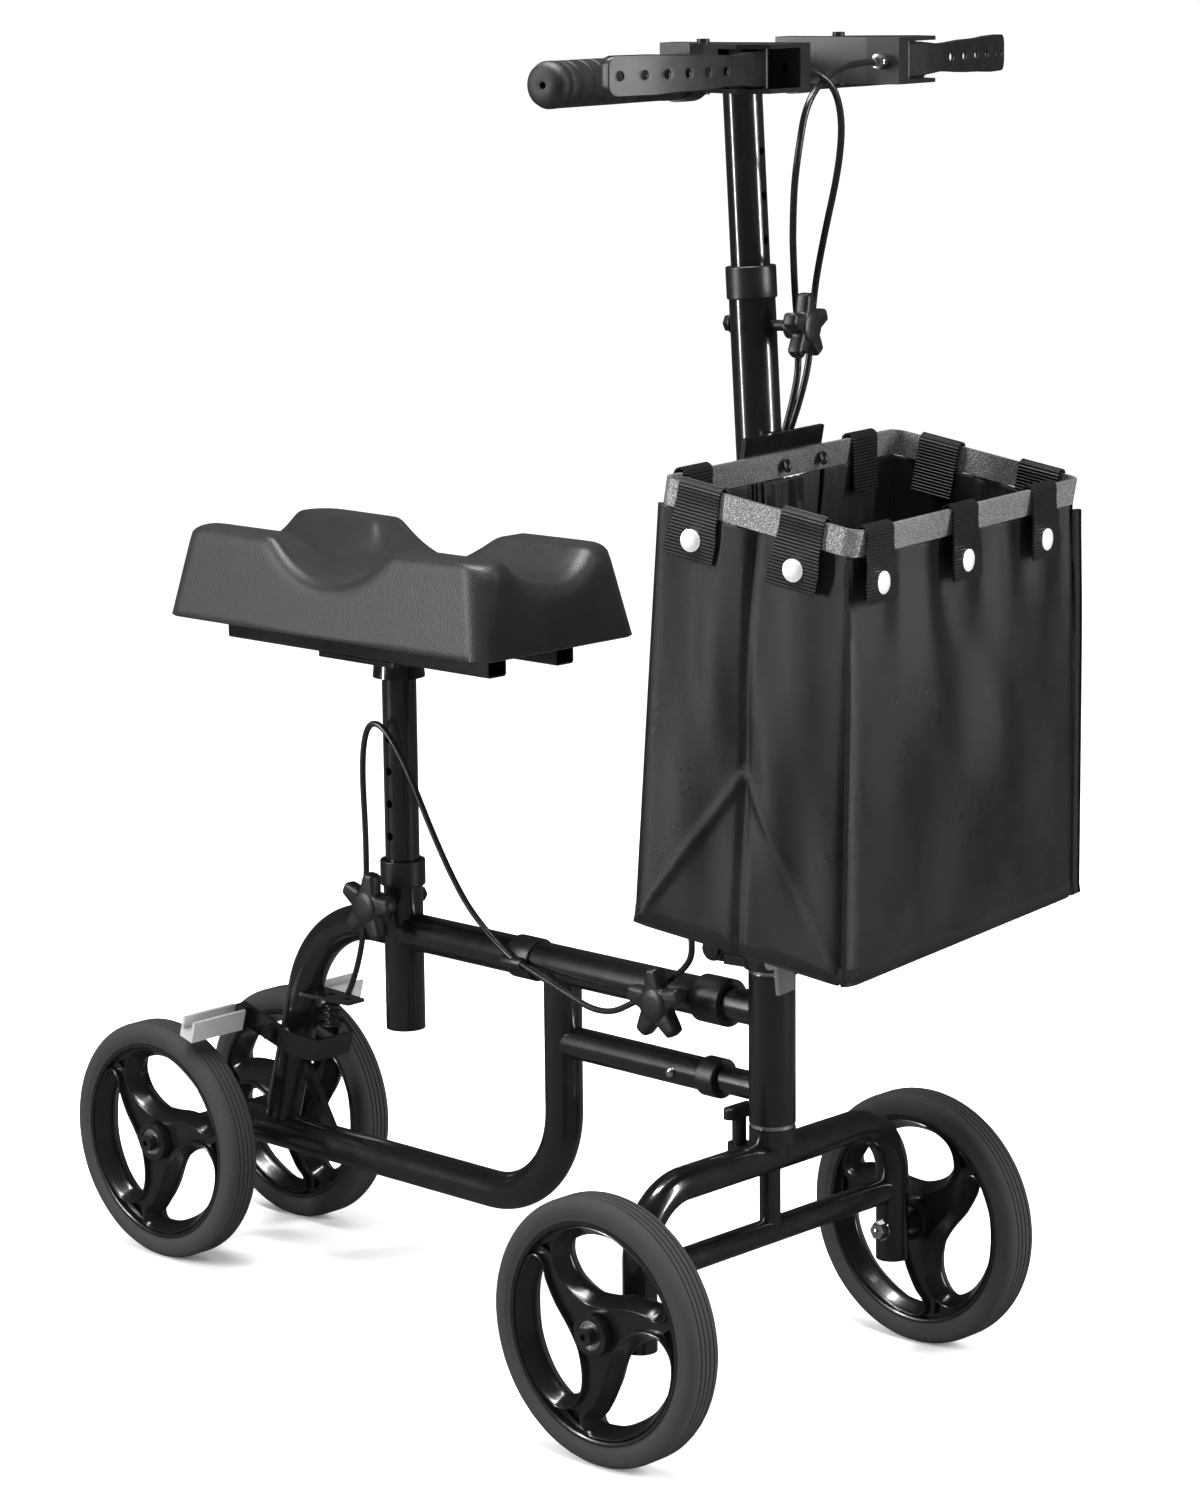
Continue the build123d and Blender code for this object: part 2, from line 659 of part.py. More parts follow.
with BuildPart() as fork_tube:
    with BuildLine() as fork_path:
        FilletPolyline(
            (front_axle_x, -fork_leg_y, fork_leg_foot),
            (front_axle_x, -fork_leg_y, fork_crown_height),
            (front_axle_x, fork_leg_y, fork_crown_height),
            (front_axle_x, fork_leg_y, fork_leg_foot),
            radius=fork_bend_radius,
        )
    with BuildSketch(Plane(origin=fork_path.line @ 0, z_dir=fork_path.line % 0)):
        Circle(fork_tube_radius)
        Circle(fork_tube_radius - tube_wall, mode=Mode.SUBTRACT)
    sweep()
    with Locations(Location((front_axle_x, 0, wheel_radius), (90, 0, 0))):
        Cylinder(axle_bolt_radius + weld_gap, 2 * fork_leg_y + 60, mode=Mode.SUBTRACT)
    with BuildSketch(Plane.XY.offset(fork_crown_height - 4)):
        with Locations((steer_x - 22, 0)):
            Rectangle(22, 18)
        with Locations((steer_x - 33, 0)):
            Circle(9)
    extrude(amount=8 - air_gap)
    with Locations(Location((front_axle_x, 0, fork_crown_height), (90, 0, 0))):
        Cylinder(fork_tube_radius - tube_wall, 90, mode=Mode.SUBTRACT)
fork_tube.part.label = "fork_tube"
export_step(fork_tube.part, "parts/fork_tube.step")

with BuildPart() as fork_crossbar:
    with Locations(Location((front_axle_x, 0, crossbar_height), (90, 0, 0))):
        Cylinder(crossbar_radius, 2 * fork_leg_y)
    with Locations((front_axle_x, 0, crossbar_height)):
        Cylinder(8.0, fork_crown_height - crossbar_height, align=(Align.CENTER, Align.CENTER, Align.MIN))
    with Locations(Location((front_axle_x, 0, fork_crown_height), (90, 0, 0))):
        Cylinder(fork_tube_radius + weld_gap, 90, mode=Mode.SUBTRACT)
    for side in (1, -1):
        with Locations((front_axle_x, side * fork_leg_y, crossbar_height)):
            Cylinder(fork_tube_radius + weld_gap, 60, mode=Mode.SUBTRACT)
fork_crossbar.part.label = "fork_crossbar"
export_step(fork_crossbar.part, "parts/fork_crossbar.step")

front_inner_face = front_track / 2 - rear_hub_half
bolt_reach = front_track / 2 - (fork_leg_y - fork_tube_radius - 7)
with BuildPart() as front_axle_bolts:
    for name in ("front_right", "front_left"):
        add(axle_bolt(wheels[name], bolt_reach))
        with BuildSketch(wheels[name].offset(-front_track / 2 + fork_leg_y - fork_tube_radius - 6)):
            RegularPolygon(7.0, 6)
        extrude(amount=6 - weld_gap)
        with BuildSketch(wheels[name].offset(-front_track / 2 + fork_leg_y + fork_tube_radius + weld_gap)):
            Circle(7.5)
        extrude(amount=front_inner_face - air_gap - fork_leg_y - fork_tube_radius - weld_gap)
front_axle_bolts.part.label = "front_axle_bolts"
export_step(front_axle_bolts.part, "parts/front_axle_bolts.step")

# fold base: a cap on the steerer whose ears carry the fold pin behind the head tube
pivot_x, pivot_z = fold_pivot
pin_radius = 4.0
ear_inner = 7.0 + air_gap
ear_outer = 13.0
with BuildPart() as fold_base:
    with BuildSketch(Plane(origin=on_column(0, 0, base_foot), x_dir=column.x_dir)):
        Circle(21)
        with Locations((-20, 0)):
            Rectangle(28, 26)
        with Locations((18, 0)):
            Rectangle(20, 24)
    extrude(amount=8)
    with BuildSketch(column_side()):
        with Locations((pivot_x, pivot_z)):
            Circle(9)
        with Locations((pivot_x + 8, base_foot + 4)):
            Rectangle(18, 8)
    extrude(amount=7, both=True)
    with BuildSketch(column_side()):
        with Locations((pivot_x, pivot_z)):
            Circle(pin_radius + weld_gap)
    extrude(amount=30, both=True, mode=Mode.SUBTRACT)
    with BuildSketch(Plane.XY.offset(base_foot)):
        with Locations((steer_x, 0)):
            Circle(steerer_radius + weld_gap)
    extrude(amount=steerer_top - base_foot, mode=Mode.SUBTRACT)
    with BuildSketch(column_side()):
        with Locations((pivot_x, pivot_z)):
            Circle(pin_radius)
    extrude(amount=ear_outer + 1.0, both=True)
    for side in (1, -1):
        with BuildSketch(column_side(side * (ear_outer + air_gap + 1.25))):
            with Locations((pivot_x, pivot_z)):
                Circle(6.5)
        extrude(amount=1.25, both=True)
fold_base.part.label = "fold_base"
export_step(fold_base.part, "parts/fold_base.step")

# ---------------------------------------------------------------- column
bracket_foot = base_top + air_gap
socket_outer = lower_stem_radius + 3.5
stem_start = 358.0
latch_pivot = (21.0, 347.0)
latch_pin_radius = 2.5
with BuildPart() as fold_bracket:
    with BuildSketch(column_side()):
        Polygon(
            (pivot_x + 12, bracket_foot), (26, bracket_foot), (26, bracket_foot + 13),
            (pivot_x + 12, bracket_foot + 13), align=None,
        )
    extrude(amount=ear_outer, both=True)
    for side in (1, -1):
        with BuildSketch(column_side(side * (ear_inner + ear_outer) / 2)):
            with Locations((pivot_x, pivot_z)):
                Circle(9)
            Polygon((pivot_x, pivot_z - 2), (pivot_x + 14, bracket_foot + 0.3), (pivot_x + 14, bracket_foot + 13),
                    (pivot_x - 2, pivot_z + 8.6), align=None)
        extrude(amount=(ear_outer - ear_inner) / 2, both=True)
    with BuildSketch(up_stem(bracket_foot + 8)):
        Circle(socket_outer)
    extrude(amount=34)
    with BuildSketch(up_stem(stem_start)):
        Circle(lower_stem_radius + weld_gap)
    extrude(amount=60, mode=Mode.SUBTRACT)
    with BuildSketch(column_side()):
        with Locations((pivot_x, pivot_z)):
            Circle(pin_radius + running_gap)
        with Locations(latch_pivot):
            Circle(latch_pin_radius + running_gap)
    extrude(amount=30, both=True, mode=Mode.SUBTRACT)
fold_bracket.part.label = "fold_bracket"
export_step(fold_bracket.part, "parts/fold_bracket.step")

stem_bore = upper_stem_radius + running_gap
stem_mouth = stem_collar_top - 4
with BuildPart() as stem_lower_tube:
    with BuildSketch(up_stem(stem_start + weld_gap)):
        Circle(lower_stem_radius)
        Circle(stem_bore, mode=Mode.SUBTRACT)
    extrude(amount=(stem_mouth - stem_start) * stem_scale)
    with BuildSketch(column_front(0)):
        with Locations((0, 808)):
            Circle(4.2)
    extrude(amount=30, mode=Mode.SUBTRACT)
stem_lower_tube.part.label = "stem_lower_tube"
export_step(stem_lower_tube.part, "parts/stem_lower_tube.step")

stem_collar_foot = 826.5
stem_collar = collar(
    up_stem(stem_collar_foot), 18.3, upper_stem_radius + air_gap,
    (stem_collar_top - stem_collar_foot) * stem_scale, lower_stem_radius,
    (stem_mouth - stem_collar_foot) * stem_scale + weld_gap,
)
stem_collar.label = "stem_collar"
export_step(stem_collar, "parts/stem_collar.step")

# basket: bracket plate on the stem, flat-strip frame, and the bag that hangs from it
basket_tilt = math.atan2(basket_rear_top - basket_front_top, basket_depth)
basket_length = basket_depth / math.cos(basket_tilt)


def tilted(x, z, angle):
    """Plane across the column that falls forward by an angle from the point (x, z)."""
    return Plane(
        origin=on_column(x, 0, z),
        x_dir=column.x_dir * math.cos(angle) - Vector(0, 0, math.sin(angle)),
        z_dir=Vector(0, 0, math.cos(angle)) + column.x_dir * math.sin(angle),
    )


basket_top = tilted(basket_rear, basket_rear_top, basket_tilt)
with BuildPart() as basket_bracket:
    with BuildSketch(basket_top.offset(-strip_height)):
        with Locations((-1.65 - weld_gap, 0)):
            Rectangle(3.3, 106)
    extrude(amount=strip_height + 14)
    with BuildSketch(up_stem(600)):
        Circle(lower_stem_radius + weld_gap)
    extrude(amount=200, mode=Mode.SUBTRACT)
basket_bracket.part.label = "basket_bracket"
export_step(basket_bracket.part, "parts/basket_bracket.step")

with BuildPart() as basket_frame:
    with BuildSketch(basket_top):
        with Locations((basket_length / 2, 0)):
            RectangleRounded(basket_length, 2 * basket_half, 11)
            RectangleRounded(basket_length - 2 * strip, 2 * basket_half - 2 * strip, 8, mode=Mode.SUBTRACT)
    extrude(amount=-strip_height)
    with BuildSketch(up_stem(600)):
        Circle(lower_stem_radius + weld_gap)
    extrude(amount=200, mode=Mode.SUBTRACT)
basket_frame.part.label = "basket_frame"
export_step(basket_frame.part, "parts/basket_frame.step")

bag_top_plane = basket_top.offset(-strip_height - 2.0)
floor_tilt = math.atan2(bag_rear_foot - bag_front_foot, 165.0)
bag_floor_plane = tilted(-12.0, bag_rear_foot, floor_tilt)
bag_top_half, bag_floor_half = basket_half - 1.0, basket_half + 5.0
bag_top_length, bag_floor_length = basket_length - 1.0, 176.0


def bag_outline(length, half, notch, mouth, inset):
    """Rectangle whose rear side steps forward round the stem, drawn inset from its outside."""
    low, high = inset, length - inset
    wide = half - inset
    return [
        (low, -wide), (high, -wide), (high, wide), (low, wide),
        (low, mouth + 26 + inset), (notch + inset, mouth + inset),
        (notch + inset, -mouth - inset), (low, -mouth - 26 - inset),
    ]


with BuildPart() as storage_bag:
    with BuildSketch(bag_floor_plane):
        Polygon(*bag_outline(bag_floor_length, bag_floor_half, 41.0, 26.0, 0.0), align=None)
    with BuildSketch(bag_top_plane):
        Polygon(*bag_outline(bag_top_length, bag_top_half, 6.0, 26.0, 0.0), align=None)
    loft(ruled=True)
    with BuildSketch(bag_floor_plane.offset(bag_wall)):
        Polygon(*bag_outline(bag_floor_length, bag_floor_half, 41.0, 26.0, bag_wall), align=None)
    with BuildSketch(bag_top_plane.offset(0.5)):
        Polygon(*bag_outline(bag_top_length, bag_top_half, 6.0, 26.0, bag_wall), align=None)
    loft(ruled=True, mode=Mode.SUBTRACT)
storage_bag.part.label = "storage_bag"
export_step(storage_bag.part, "parts/storage_bag.step")

# webbing loops over the strip: (side plane, place along it)
webbing = 1.4
webbing_width = 38.0
loop_gap = 1.7
loop_out = 50.0
loop_in = 42.0
front_loops = (-133.0, -17.0, 98.0)
rear_loops = (-118.0, 107.0)
right_loops = (33.5, 117.0)
left_loops = (43.0, 128.0)
tilt_shift = strip_height * math.sin(basket_tilt) + 1.8
loops = (
    [((basket_length, y), column.x_dir, column.y_dir, loop_gap, loop_gap + tilt_shift)
     for y in front_loops]
    + [((0, y), -column.x_dir, column.y_dir, loop_gap + tilt_shift, loop_gap) for y in rear_loops]
    + [((x, -basket_half), -column.y_dir, basket_top.x_dir, loop_gap, loop_gap) for x in right_loops]
    + [((x, basket_half), column.y_dir, basket_top.x_dir, loop_gap, loop_gap) for x in left_loops]
)
with BuildPart() as bag_loops:
    for (x, y), outward, along, outer_gap, inner_gap in loops:
        loop_plane = Plane(origin=basket_top.from_local_coords((x, y, 0)), x_dir=outward, z_dir=along)
        up = 1 if loop_plane.y_dir.Z > 0 else -1
        inner_face = -strip - inner_gap
        with BuildSketch(loop_plane):
            Polygon(
                (outer_gap, -up * loop_out), (outer_gap + webbing, -up * loop_out),
                (outer_gap + webbing, up * (loop_gap + webbing)),
                (inner_face - webbing, up * (loop_gap + webbing)),
                (inner_face - webbing, -up * loop_in), (inner_face, -up * loop_in),
                (inner_face, up * loop_gap), (outer_gap, up * loop_gap), align=None,
            )
        extrude(amount=webbing_width / 2, both=True)
bag_loops.part.label = "bag_loops"
export_step(bag_loops.part, "parts/bag_loops.step")

# ---------------------------------------------------------------- handlebar
with BuildPart() as stem_upper_tube:
    with BuildSketch(up_stem(700)):
        Circle(upper_stem_radius)
        Circle(upper_stem_radius - tube_wall, mode=Mode.SUBTRACT)
    extrude(amount=(bar_height - 700) * stem_scale)
    for z in (868.4, 899.8, 931.2):
        with BuildSketch(column_front(stem_x(z))):
            with Locations((0, z)):
                Circle(3.2)
        extrude(amount=30, mode=Mode.SUBTRACT)
    with BuildSketch(column_side()):
        with Locations((bar_x, bar_height)):
            Circle(bar_radius + weld_gap)
    extrude(amount=60, both=True, mode=Mode.SUBTRACT)
stem_upper_tube.part.label = "stem_upper_tube"
export_step(stem_upper_tube.part, "parts/stem_upper_tube.step")

with BuildPart() as handlebar_tube:
    with BuildSketch(column_side()):
        with Locations((bar_x, bar_height)):
            Circle(bar_radius)
            Circle(bar_radius - tube_wall, mode=Mode.SUBTRACT)
    extrude(amount=bar_half - 5, both=True)
handlebar_tube.part.label = "handlebar_tube"
export_step(handlebar_tube.part, "parts/handlebar_tube.step")

vent_radius = 2.5
with BuildPart() as grips:
    for side in (1, -1):
        end = Plane(origin=on_column(bar_x, side * bar_half, bar_height), x_dir=column.x_dir,
                    z_dir=column.y_dir * -side)
        with BuildSketch(end):
            Circle(grip_radius)
        extrude(amount=grip_length)
        with BuildSketch(end.offset(5 - weld_gap)):
            Circle(bar_radius + weld_gap)
        extrude(amount=grip_length, mode=Mode.SUBTRACT)
        with BuildSketch(end):
            Circle(vent_radius)
        extrude(amount=6, mode=Mode.SUBTRACT)
    ends = grips.edges().filter_by(GeomType.CIRCLE).filter_by(lambda e: abs(e.radius - grip_radius) < 0.01)
    fillet(ends.sort_by(Axis.Y)[0], 5.5)
    fillet(grips.edges().filter_by(GeomType.CIRCLE).filter_by(
        lambda e: abs(e.radius - grip_radius) < 0.01).sort_by(Axis.Y)[-1], 5.5)
grips.part.label = "grips"
export_step(grips.part, "parts/grips.step")

# lever housings: a clamp round the bar, two plates running forward, and a cable block
clamp_inner, clamp_outer = 66.0, 85.5
clamp_bolt = (2.5, 90.0)
housing_height = 33.0
housing_z = 993.0
block_front = 70.5
block_inner = 60.0
lever_pivot = (56.0, 96.0)
lever_pin_radius = 2.5
housing_plane = Plane(origin=on_column(0, 0, housing_z - housing_height / 2), x_dir=column.x_dir)
with BuildPart() as lever_housings:
    with BuildSketch(housing_plane):
        with BuildLine():
            Polyline((bar_x - 14, clamp_inner), (0, clamp_inner - 2), (44, block_inner),
                     (block_front, block_inner), (block_front, 112), (50, 122), (14, 108), (-4, 97),
                     (-4, clamp_outer), (bar_x - 14, clamp_outer), close=True)
        make_face()
    extrude(amount=housing_height)
    with BuildSketch(housing_plane.offset(3)):
        Polygon((30, block_inner + 13), (block_front + 1, block_inner + 13), (block_front + 1, 140),
                (30, 140), align=None)
    extrude(amount=housing_height - 6, mode=Mode.SUBTRACT)
    with BuildSketch(column_side()):
        with Locations((bar_x, bar_height)):
            Circle(bar_radius + weld_gap)
    extrude(amount=-200, mode=Mode.SUBTRACT)
    with BuildSketch(column_side()):
        with Locations((bar_x - 26, bar_height)):
            Rectangle(26, 60)
    extrude(amount=-200, mode=Mode.SUBTRACT)
    with BuildSketch(Plane(origin=on_column(bar_x, clamp_inner, bar_height), x_dir=column.x_dir,
                           z_dir=column.y_dir)):
        Circle(bar_radius + 6.4)
        Circle(bar_radius + weld_gap, mode=Mode.SUBTRACT)
    extrude(amount=clamp_outer - clamp_inner)
    with BuildSketch(housing_plane.offset(2)):
        with Locations(lever_pivot):
            Circle(lever_pin_radius)
    extrude(amount=housing_height - 4)
    with BuildSketch(Plane(origin=on_column(block_front - 13, block_inner - 1, housing_z),
                           x_dir=column.x_dir, z_dir=column.y_dir)):
        Circle(3.1)
    extrude(amount=20, mode=Mode.SUBTRACT)
    with BuildSketch(housing_plane.offset(-2)):
        with Locations(clamp_bolt):
            Circle(4.5)
    extrude(amount=2.1)
    with BuildSketch(housing_plane.offset(housing_height - 0.1)):
        with Locations(clamp_bolt):
            Circle(4.5)
    extrude(amount=3)
    mirror(about=column_side())
lever_housings.part.label = "lever_housings"
export_step(lever_housings.part, "parts/lever_housings.step")

# brake levers: channel-section blades on a vertical pin, bowed towards the grips at their tips
blade_height = 26.0
tip_x, tip_y = 40.0, 266.0


def brake_lever(side):
    """One lever: an eye round the pin, a narrow waist, and a broad blade ending near the grip's end."""
    with BuildPart() as lever:
        with BuildSketch(housing_plane.offset(3 + air_gap)):
            with BuildLine():
                front = ThreePointArc((61, 92), (62, 170), (tip_x + 4, tip_y))
                Line(front @ 1, (tip_x - 1, tip_y))
                back = ThreePointArc((tip_x - 1, tip_y), (57, 170), (56, 98))
                Line(back @ 1, front @ 0)
            make_face()
            with Locations(lever_pivot):
                Circle(7)
                Circle(lever_pin_radius + running_gap, mode=Mode.SUBTRACT)
        extrude(amount=housing_height - 6 - 2 * air_gap)
        with BuildSketch(Plane(origin=on_column(30, 0, housing_z), x_dir=column.y_dir, z_dir=column.x_dir)):
            for way in (1, -1):
                Polygon((lever_pivot[1] + 14, way * 40), (lever_pivot[1] + 14, way * 12.5),
                        (lever_pivot[1] + 40, way * 10.5), (lever_pivot[1] + 62, way * 12),
                        (tip_y - 40, way * 13.6), (tip_y + 20, way * 13.6), (tip_y + 20, way * 40), align=None)
        extrude(amount=60, mode=Mode.SUBTRACT)
        with BuildSketch(Plane(origin=on_column(30, 0, housing_z), x_dir=column.y_dir, z_dir=column.x_dir)):
            with Locations(*[(152 + 21.5 * step, 0) for step in range(6)]):
                Circle(3.2)
        extrude(amount=60, mode=Mode.SUBTRACT)
        if side < 0:
            mirror(about=column_side(), mode=Mode.REPLACE)
    return lever.part


for side, lever_name in ((-1, "right_brake_lever"), (1, "left_brake_lever")):
    blade = brake_lever(side)
    blade.label = lever_name
    export_step(blade, f"parts/{lever_name}.step")

# cable housings on the handlebar and on the column
left_upper = [(block_front - 13, 59, housing_z), (57, 10, 994), (60, -46, 975), (58, -58, 928), (44, -40, 898),
              (26.5, -12, 870)]
right_upper = [(block_front - 13, -59, housing_z), (58, -38, 992), (67, -16, 975), (58, 4, 932),
               (30.5, 32, 890)]
left_lower = [(26, -11, 869.2), (8, 19.7, 831.5), (-1, 40, 800), (-3, 42, 752), (-24, 28, 678)]
right_lower = [(30, 32.6, 889.2), (12, 47, 851.4), (3, 53, 817.5), (-1, 51, 752), (-28, 36, 678)]
with BuildPart() as handlebar_brake_cables:
    add(cable([on_column(*q) for q in left_upper], [18, 26, 30, 60]))
    add(cable([on_column(*q) for q in right_upper], [16, 14, 50]))
handlebar_brake_cables.part.label = "handlebar_brake_cables"
export_step(handlebar_brake_cables.part, "parts/handlebar_brake_cables.step")

trunk = [(-28, 31, 671), (-46, 14, 600), (-52, -6, 470), (-65.0, -13.6, 379)]
with BuildPart() as column_brake_cables:
    add(cable([on_column(*q) for q in left_lower], [60, 50, 80]))
    add(cable([on_column(*q) for q in right_lower], [60, 80, 80]))
    add(cable([on_column(*q) for q in trunk], [200, 200]))
    with BuildSketch(Plane(origin=on_column(-29, 31, 668), x_dir=column.x_dir,
                           z_dir=(on_column(-26, 32, 690) - on_column(-29, 31, 668)).normalized())):
        Ellipse(8, 11)
    extrude(amount=24)
column_brake_cables.part.label = "column_brake_cables"
export_step(column_brake_cables.part, "parts/column_brake_cables.step")


# ---------------------------------------------------------------- star knobs and other controls
def star_knob(plane, radius, thickness, bolt_from, bolt_to):
    """Five-armed clamping knob with a raised cap, and its bolt reaching back towards the tube."""
    with BuildPart() as knob:
        with BuildSketch(plane):
            Circle(radius * 0.62)
            with PolarLocations(0, 5):
                Rectangle(radius - 6, 11, align=(Align.MIN, Align.CENTER))
            with PolarLocations(radius - 6, 5):
                Circle(6)
        extrude(amount=thickness)
        with BuildSketch(plane.offset(-8)):
            Circle(9)
        extrude(amount=8)
        with BuildSketch(plane.offset(thickness)):
            Circle(radius * 0.4)
        extrude(amount=1.5)
        with BuildSketch(plane.offset(bolt_from)):
            Circle(4.0)
        extrude(amount=bolt_to - bolt_from)
    return knob.part


knob_back = 32.0             # how far the frame's knobs stand off the tubes' centre lines
seat_knob_plane = Plane(origin=(seat_x, -knob_back, seat_knob_z), x_dir=(0.16, 0, 0.987), z_dir=(0, -1, 0))
seat_knob = star_knob(seat_knob_plane, 27.5, 12, -(knob_back - seat_post_radius - air_gap), -8)
seat_knob.label = "seat_knob"
export_step(seat_knob, "parts/seat_knob.step")

frame_knob_plane = Plane(origin=(frame_knob_x, -knob_back, main_tube_height), x_dir=(-0.1, 0, 0.995),
                         z_dir=(0, -1, 0))
frame_knob = star_knob(frame_knob_plane, 27.5, 12, -(knob_back - upper_slide_radius - air_gap), -8)
frame_knob.label = "frame_knob"
export_step(frame_knob, "parts/frame_knob.step")

stem_knob_x = 24.0
stem_knob_plane = Plane(origin=on_column(stem_knob_x, 0, 808), x_dir=(0, 0, 1), z_dir=column.x_dir)
stem_knob_bolt = -(stem_knob_x - stem_x(808) - upper_stem_radius - air_gap)
stem_knob = star_knob(stem_knob_plane, 24.0, 11, stem_knob_bolt, -8)
stem_knob.label = "stem_knob"
export_step(stem_knob, "parts/stem_knob.step")

with BuildPart() as spring_button:
    with BuildSketch(Plane(origin=(button_x, -lower_slide_radius - air_gap, sleeve_height),
                           x_dir=(1, 0, 0), z_dir=(0, -1, 0))):
        Circle(button_radius)
    extrude(amount=sleeve_radius - lower_slide_radius + 3.0)
    fillet(spring_button.faces().sort_by(Axis.Y)[0].edges(), 2.0)
spring_button.part.label = "spring_button"
export_step(spring_button.part, "parts/spring_button.step")

# fold latch: a bright lever on the front of the fold, hanging down beside the head tube
latch_y = -26.0
with BuildPart() as fold_latch_lever:
    with BuildSketch(column_side(latch_y)):
        with Locations(latch_pivot):
            Circle(4.2)
        Polygon((latch_pivot[0] - 1, 351), (latch_pivot[0] + 6.5, 349), (latch_pivot[0] + 8.5, 325),
                (latch_pivot[0] + 5.5, 325), (latch_pivot[0] + 3.5, 346), align=None)
    extrude(amount=11, both=True)
    with BuildSketch(column_front(latch_pivot[0] + 3)):
        with Locations((latch_y, 311)):
            Rectangle(40, 24)
        with Locations((latch_y, 336)):
            Circle(11, mode=Mode.SUBTRACT)
    extrude(amount=30, mode=Mode.SUBTRACT)
    with BuildSketch(column_side(latch_y)):
        with Locations(latch_pivot):
            Circle(latch_pin_radius)
    extrude(amount=-20)
fold_latch_lever.part.label = "fold_latch_lever"
export_step(fold_latch_lever.part, "parts/fold_latch_lever.step")

# steering lock: a winged screw in a lug behind the foot of the head tube
lock_x = steer_x - 33.0
with BuildPart() as steering_lock_screw:
    with Locations((lock_x, 0, fork_crown_height + 4)):
        Cylinder(5.5, 20, align=(Align.CENTER, Align.CENTER, Align.MIN))
    with BuildSketch(Plane.XY.offset(fork_crown_height + 24)):
        with Locations((lock_x, 0)):
            SlotOverall(30, 11, rotation=90)
    extrude(amount=9)
    fillet(steering_lock_screw.faces().sort_by(Axis.Z)[-1].edges(), 2.5)
steering_lock_screw.part.label = "steering_lock_screw"
export_step(steering_lock_screw.part, "parts/steering_lock_screw.step")
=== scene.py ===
"""Knee scooter: detailed visible pieces, finishes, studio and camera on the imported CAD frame.

Everything is in the row frame, in metres, but sizes below are given in millimetres and turned to
metres by a Place, which is an origin with three directions. Two places matter: the wheels' own, and
the steering column's, whose x is forward, y is left and z is up, turned a few degrees to the left.
"""

from __future__ import annotations

import json
import logging
import math
import operator
from collections.abc import Iterable
from dataclasses import dataclass
from enum import Enum
from functools import reduce

import bmesh
import bpy
import numpy as np
from mathutils import Matrix, Vector

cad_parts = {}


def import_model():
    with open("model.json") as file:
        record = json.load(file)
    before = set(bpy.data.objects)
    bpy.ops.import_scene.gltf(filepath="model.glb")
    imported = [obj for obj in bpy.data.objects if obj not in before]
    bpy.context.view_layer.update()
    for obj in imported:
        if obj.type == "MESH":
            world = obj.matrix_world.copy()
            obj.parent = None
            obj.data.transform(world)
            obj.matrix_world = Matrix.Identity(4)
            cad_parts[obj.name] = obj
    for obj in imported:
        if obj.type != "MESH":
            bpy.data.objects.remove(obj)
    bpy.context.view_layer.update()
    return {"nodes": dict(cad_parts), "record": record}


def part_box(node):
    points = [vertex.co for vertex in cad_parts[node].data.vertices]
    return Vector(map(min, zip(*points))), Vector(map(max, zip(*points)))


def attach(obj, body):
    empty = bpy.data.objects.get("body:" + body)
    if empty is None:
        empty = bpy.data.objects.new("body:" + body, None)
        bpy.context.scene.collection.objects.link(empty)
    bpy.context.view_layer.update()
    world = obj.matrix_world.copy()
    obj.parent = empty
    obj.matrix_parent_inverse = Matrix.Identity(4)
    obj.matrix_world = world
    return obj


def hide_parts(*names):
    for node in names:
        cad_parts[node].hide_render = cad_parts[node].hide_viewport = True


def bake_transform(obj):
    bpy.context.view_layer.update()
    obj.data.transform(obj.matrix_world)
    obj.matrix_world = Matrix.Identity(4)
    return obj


LOG = logging.getLogger("knee_scooter")
TAU = 2.0 * math.pi
MM = 1000.0                       # millimetres in a metre
WELD = 3e-6                       # vertices nearer than this, in metres, become one
CENTRE = 0.001                    # radius of a turned profile's closed middle, in millimetres
STEM_KNOB_Z = 808.0               # height of the stem's clamping screw, in millimetres


# ------------------------------------------------------------------------------ places and shells
@dataclass(frozen=True)
class Place:
    """An origin in metres with three directions, which turns local millimetres into the row frame."""

    origin: tuple[float, float, float]
    x: tuple[float, float, float] = (1.0, 0.0, 0.0)
    y: tuple[float, float, float] = (0.0, 1.0, 0.0)
    z: tuple[float, float, float] = (0.0, 0.0, 1.0)

    def points(self, local: np.ndarray) -> np.ndarray:
        """Local millimetres to row-frame metres.

        Args:
            local: points, last axis x, y, z.

        Returns:
            Points of the same shape in metres.
        """
        axes = np.array([self.x, self.y, self.z])
        return np.array(self.origin) + (np.asarray(local, float) / MM) @ axes

    def shifted(self, x: float, y: float, z: float) -> Place:
        """The same directions from a point given in local millimetres."""
        return Place(tuple(self.points(np.array([x, y, z]))), self.x, self.y, self.z)


ROW = Place((0.0, 0.0, 0.0))


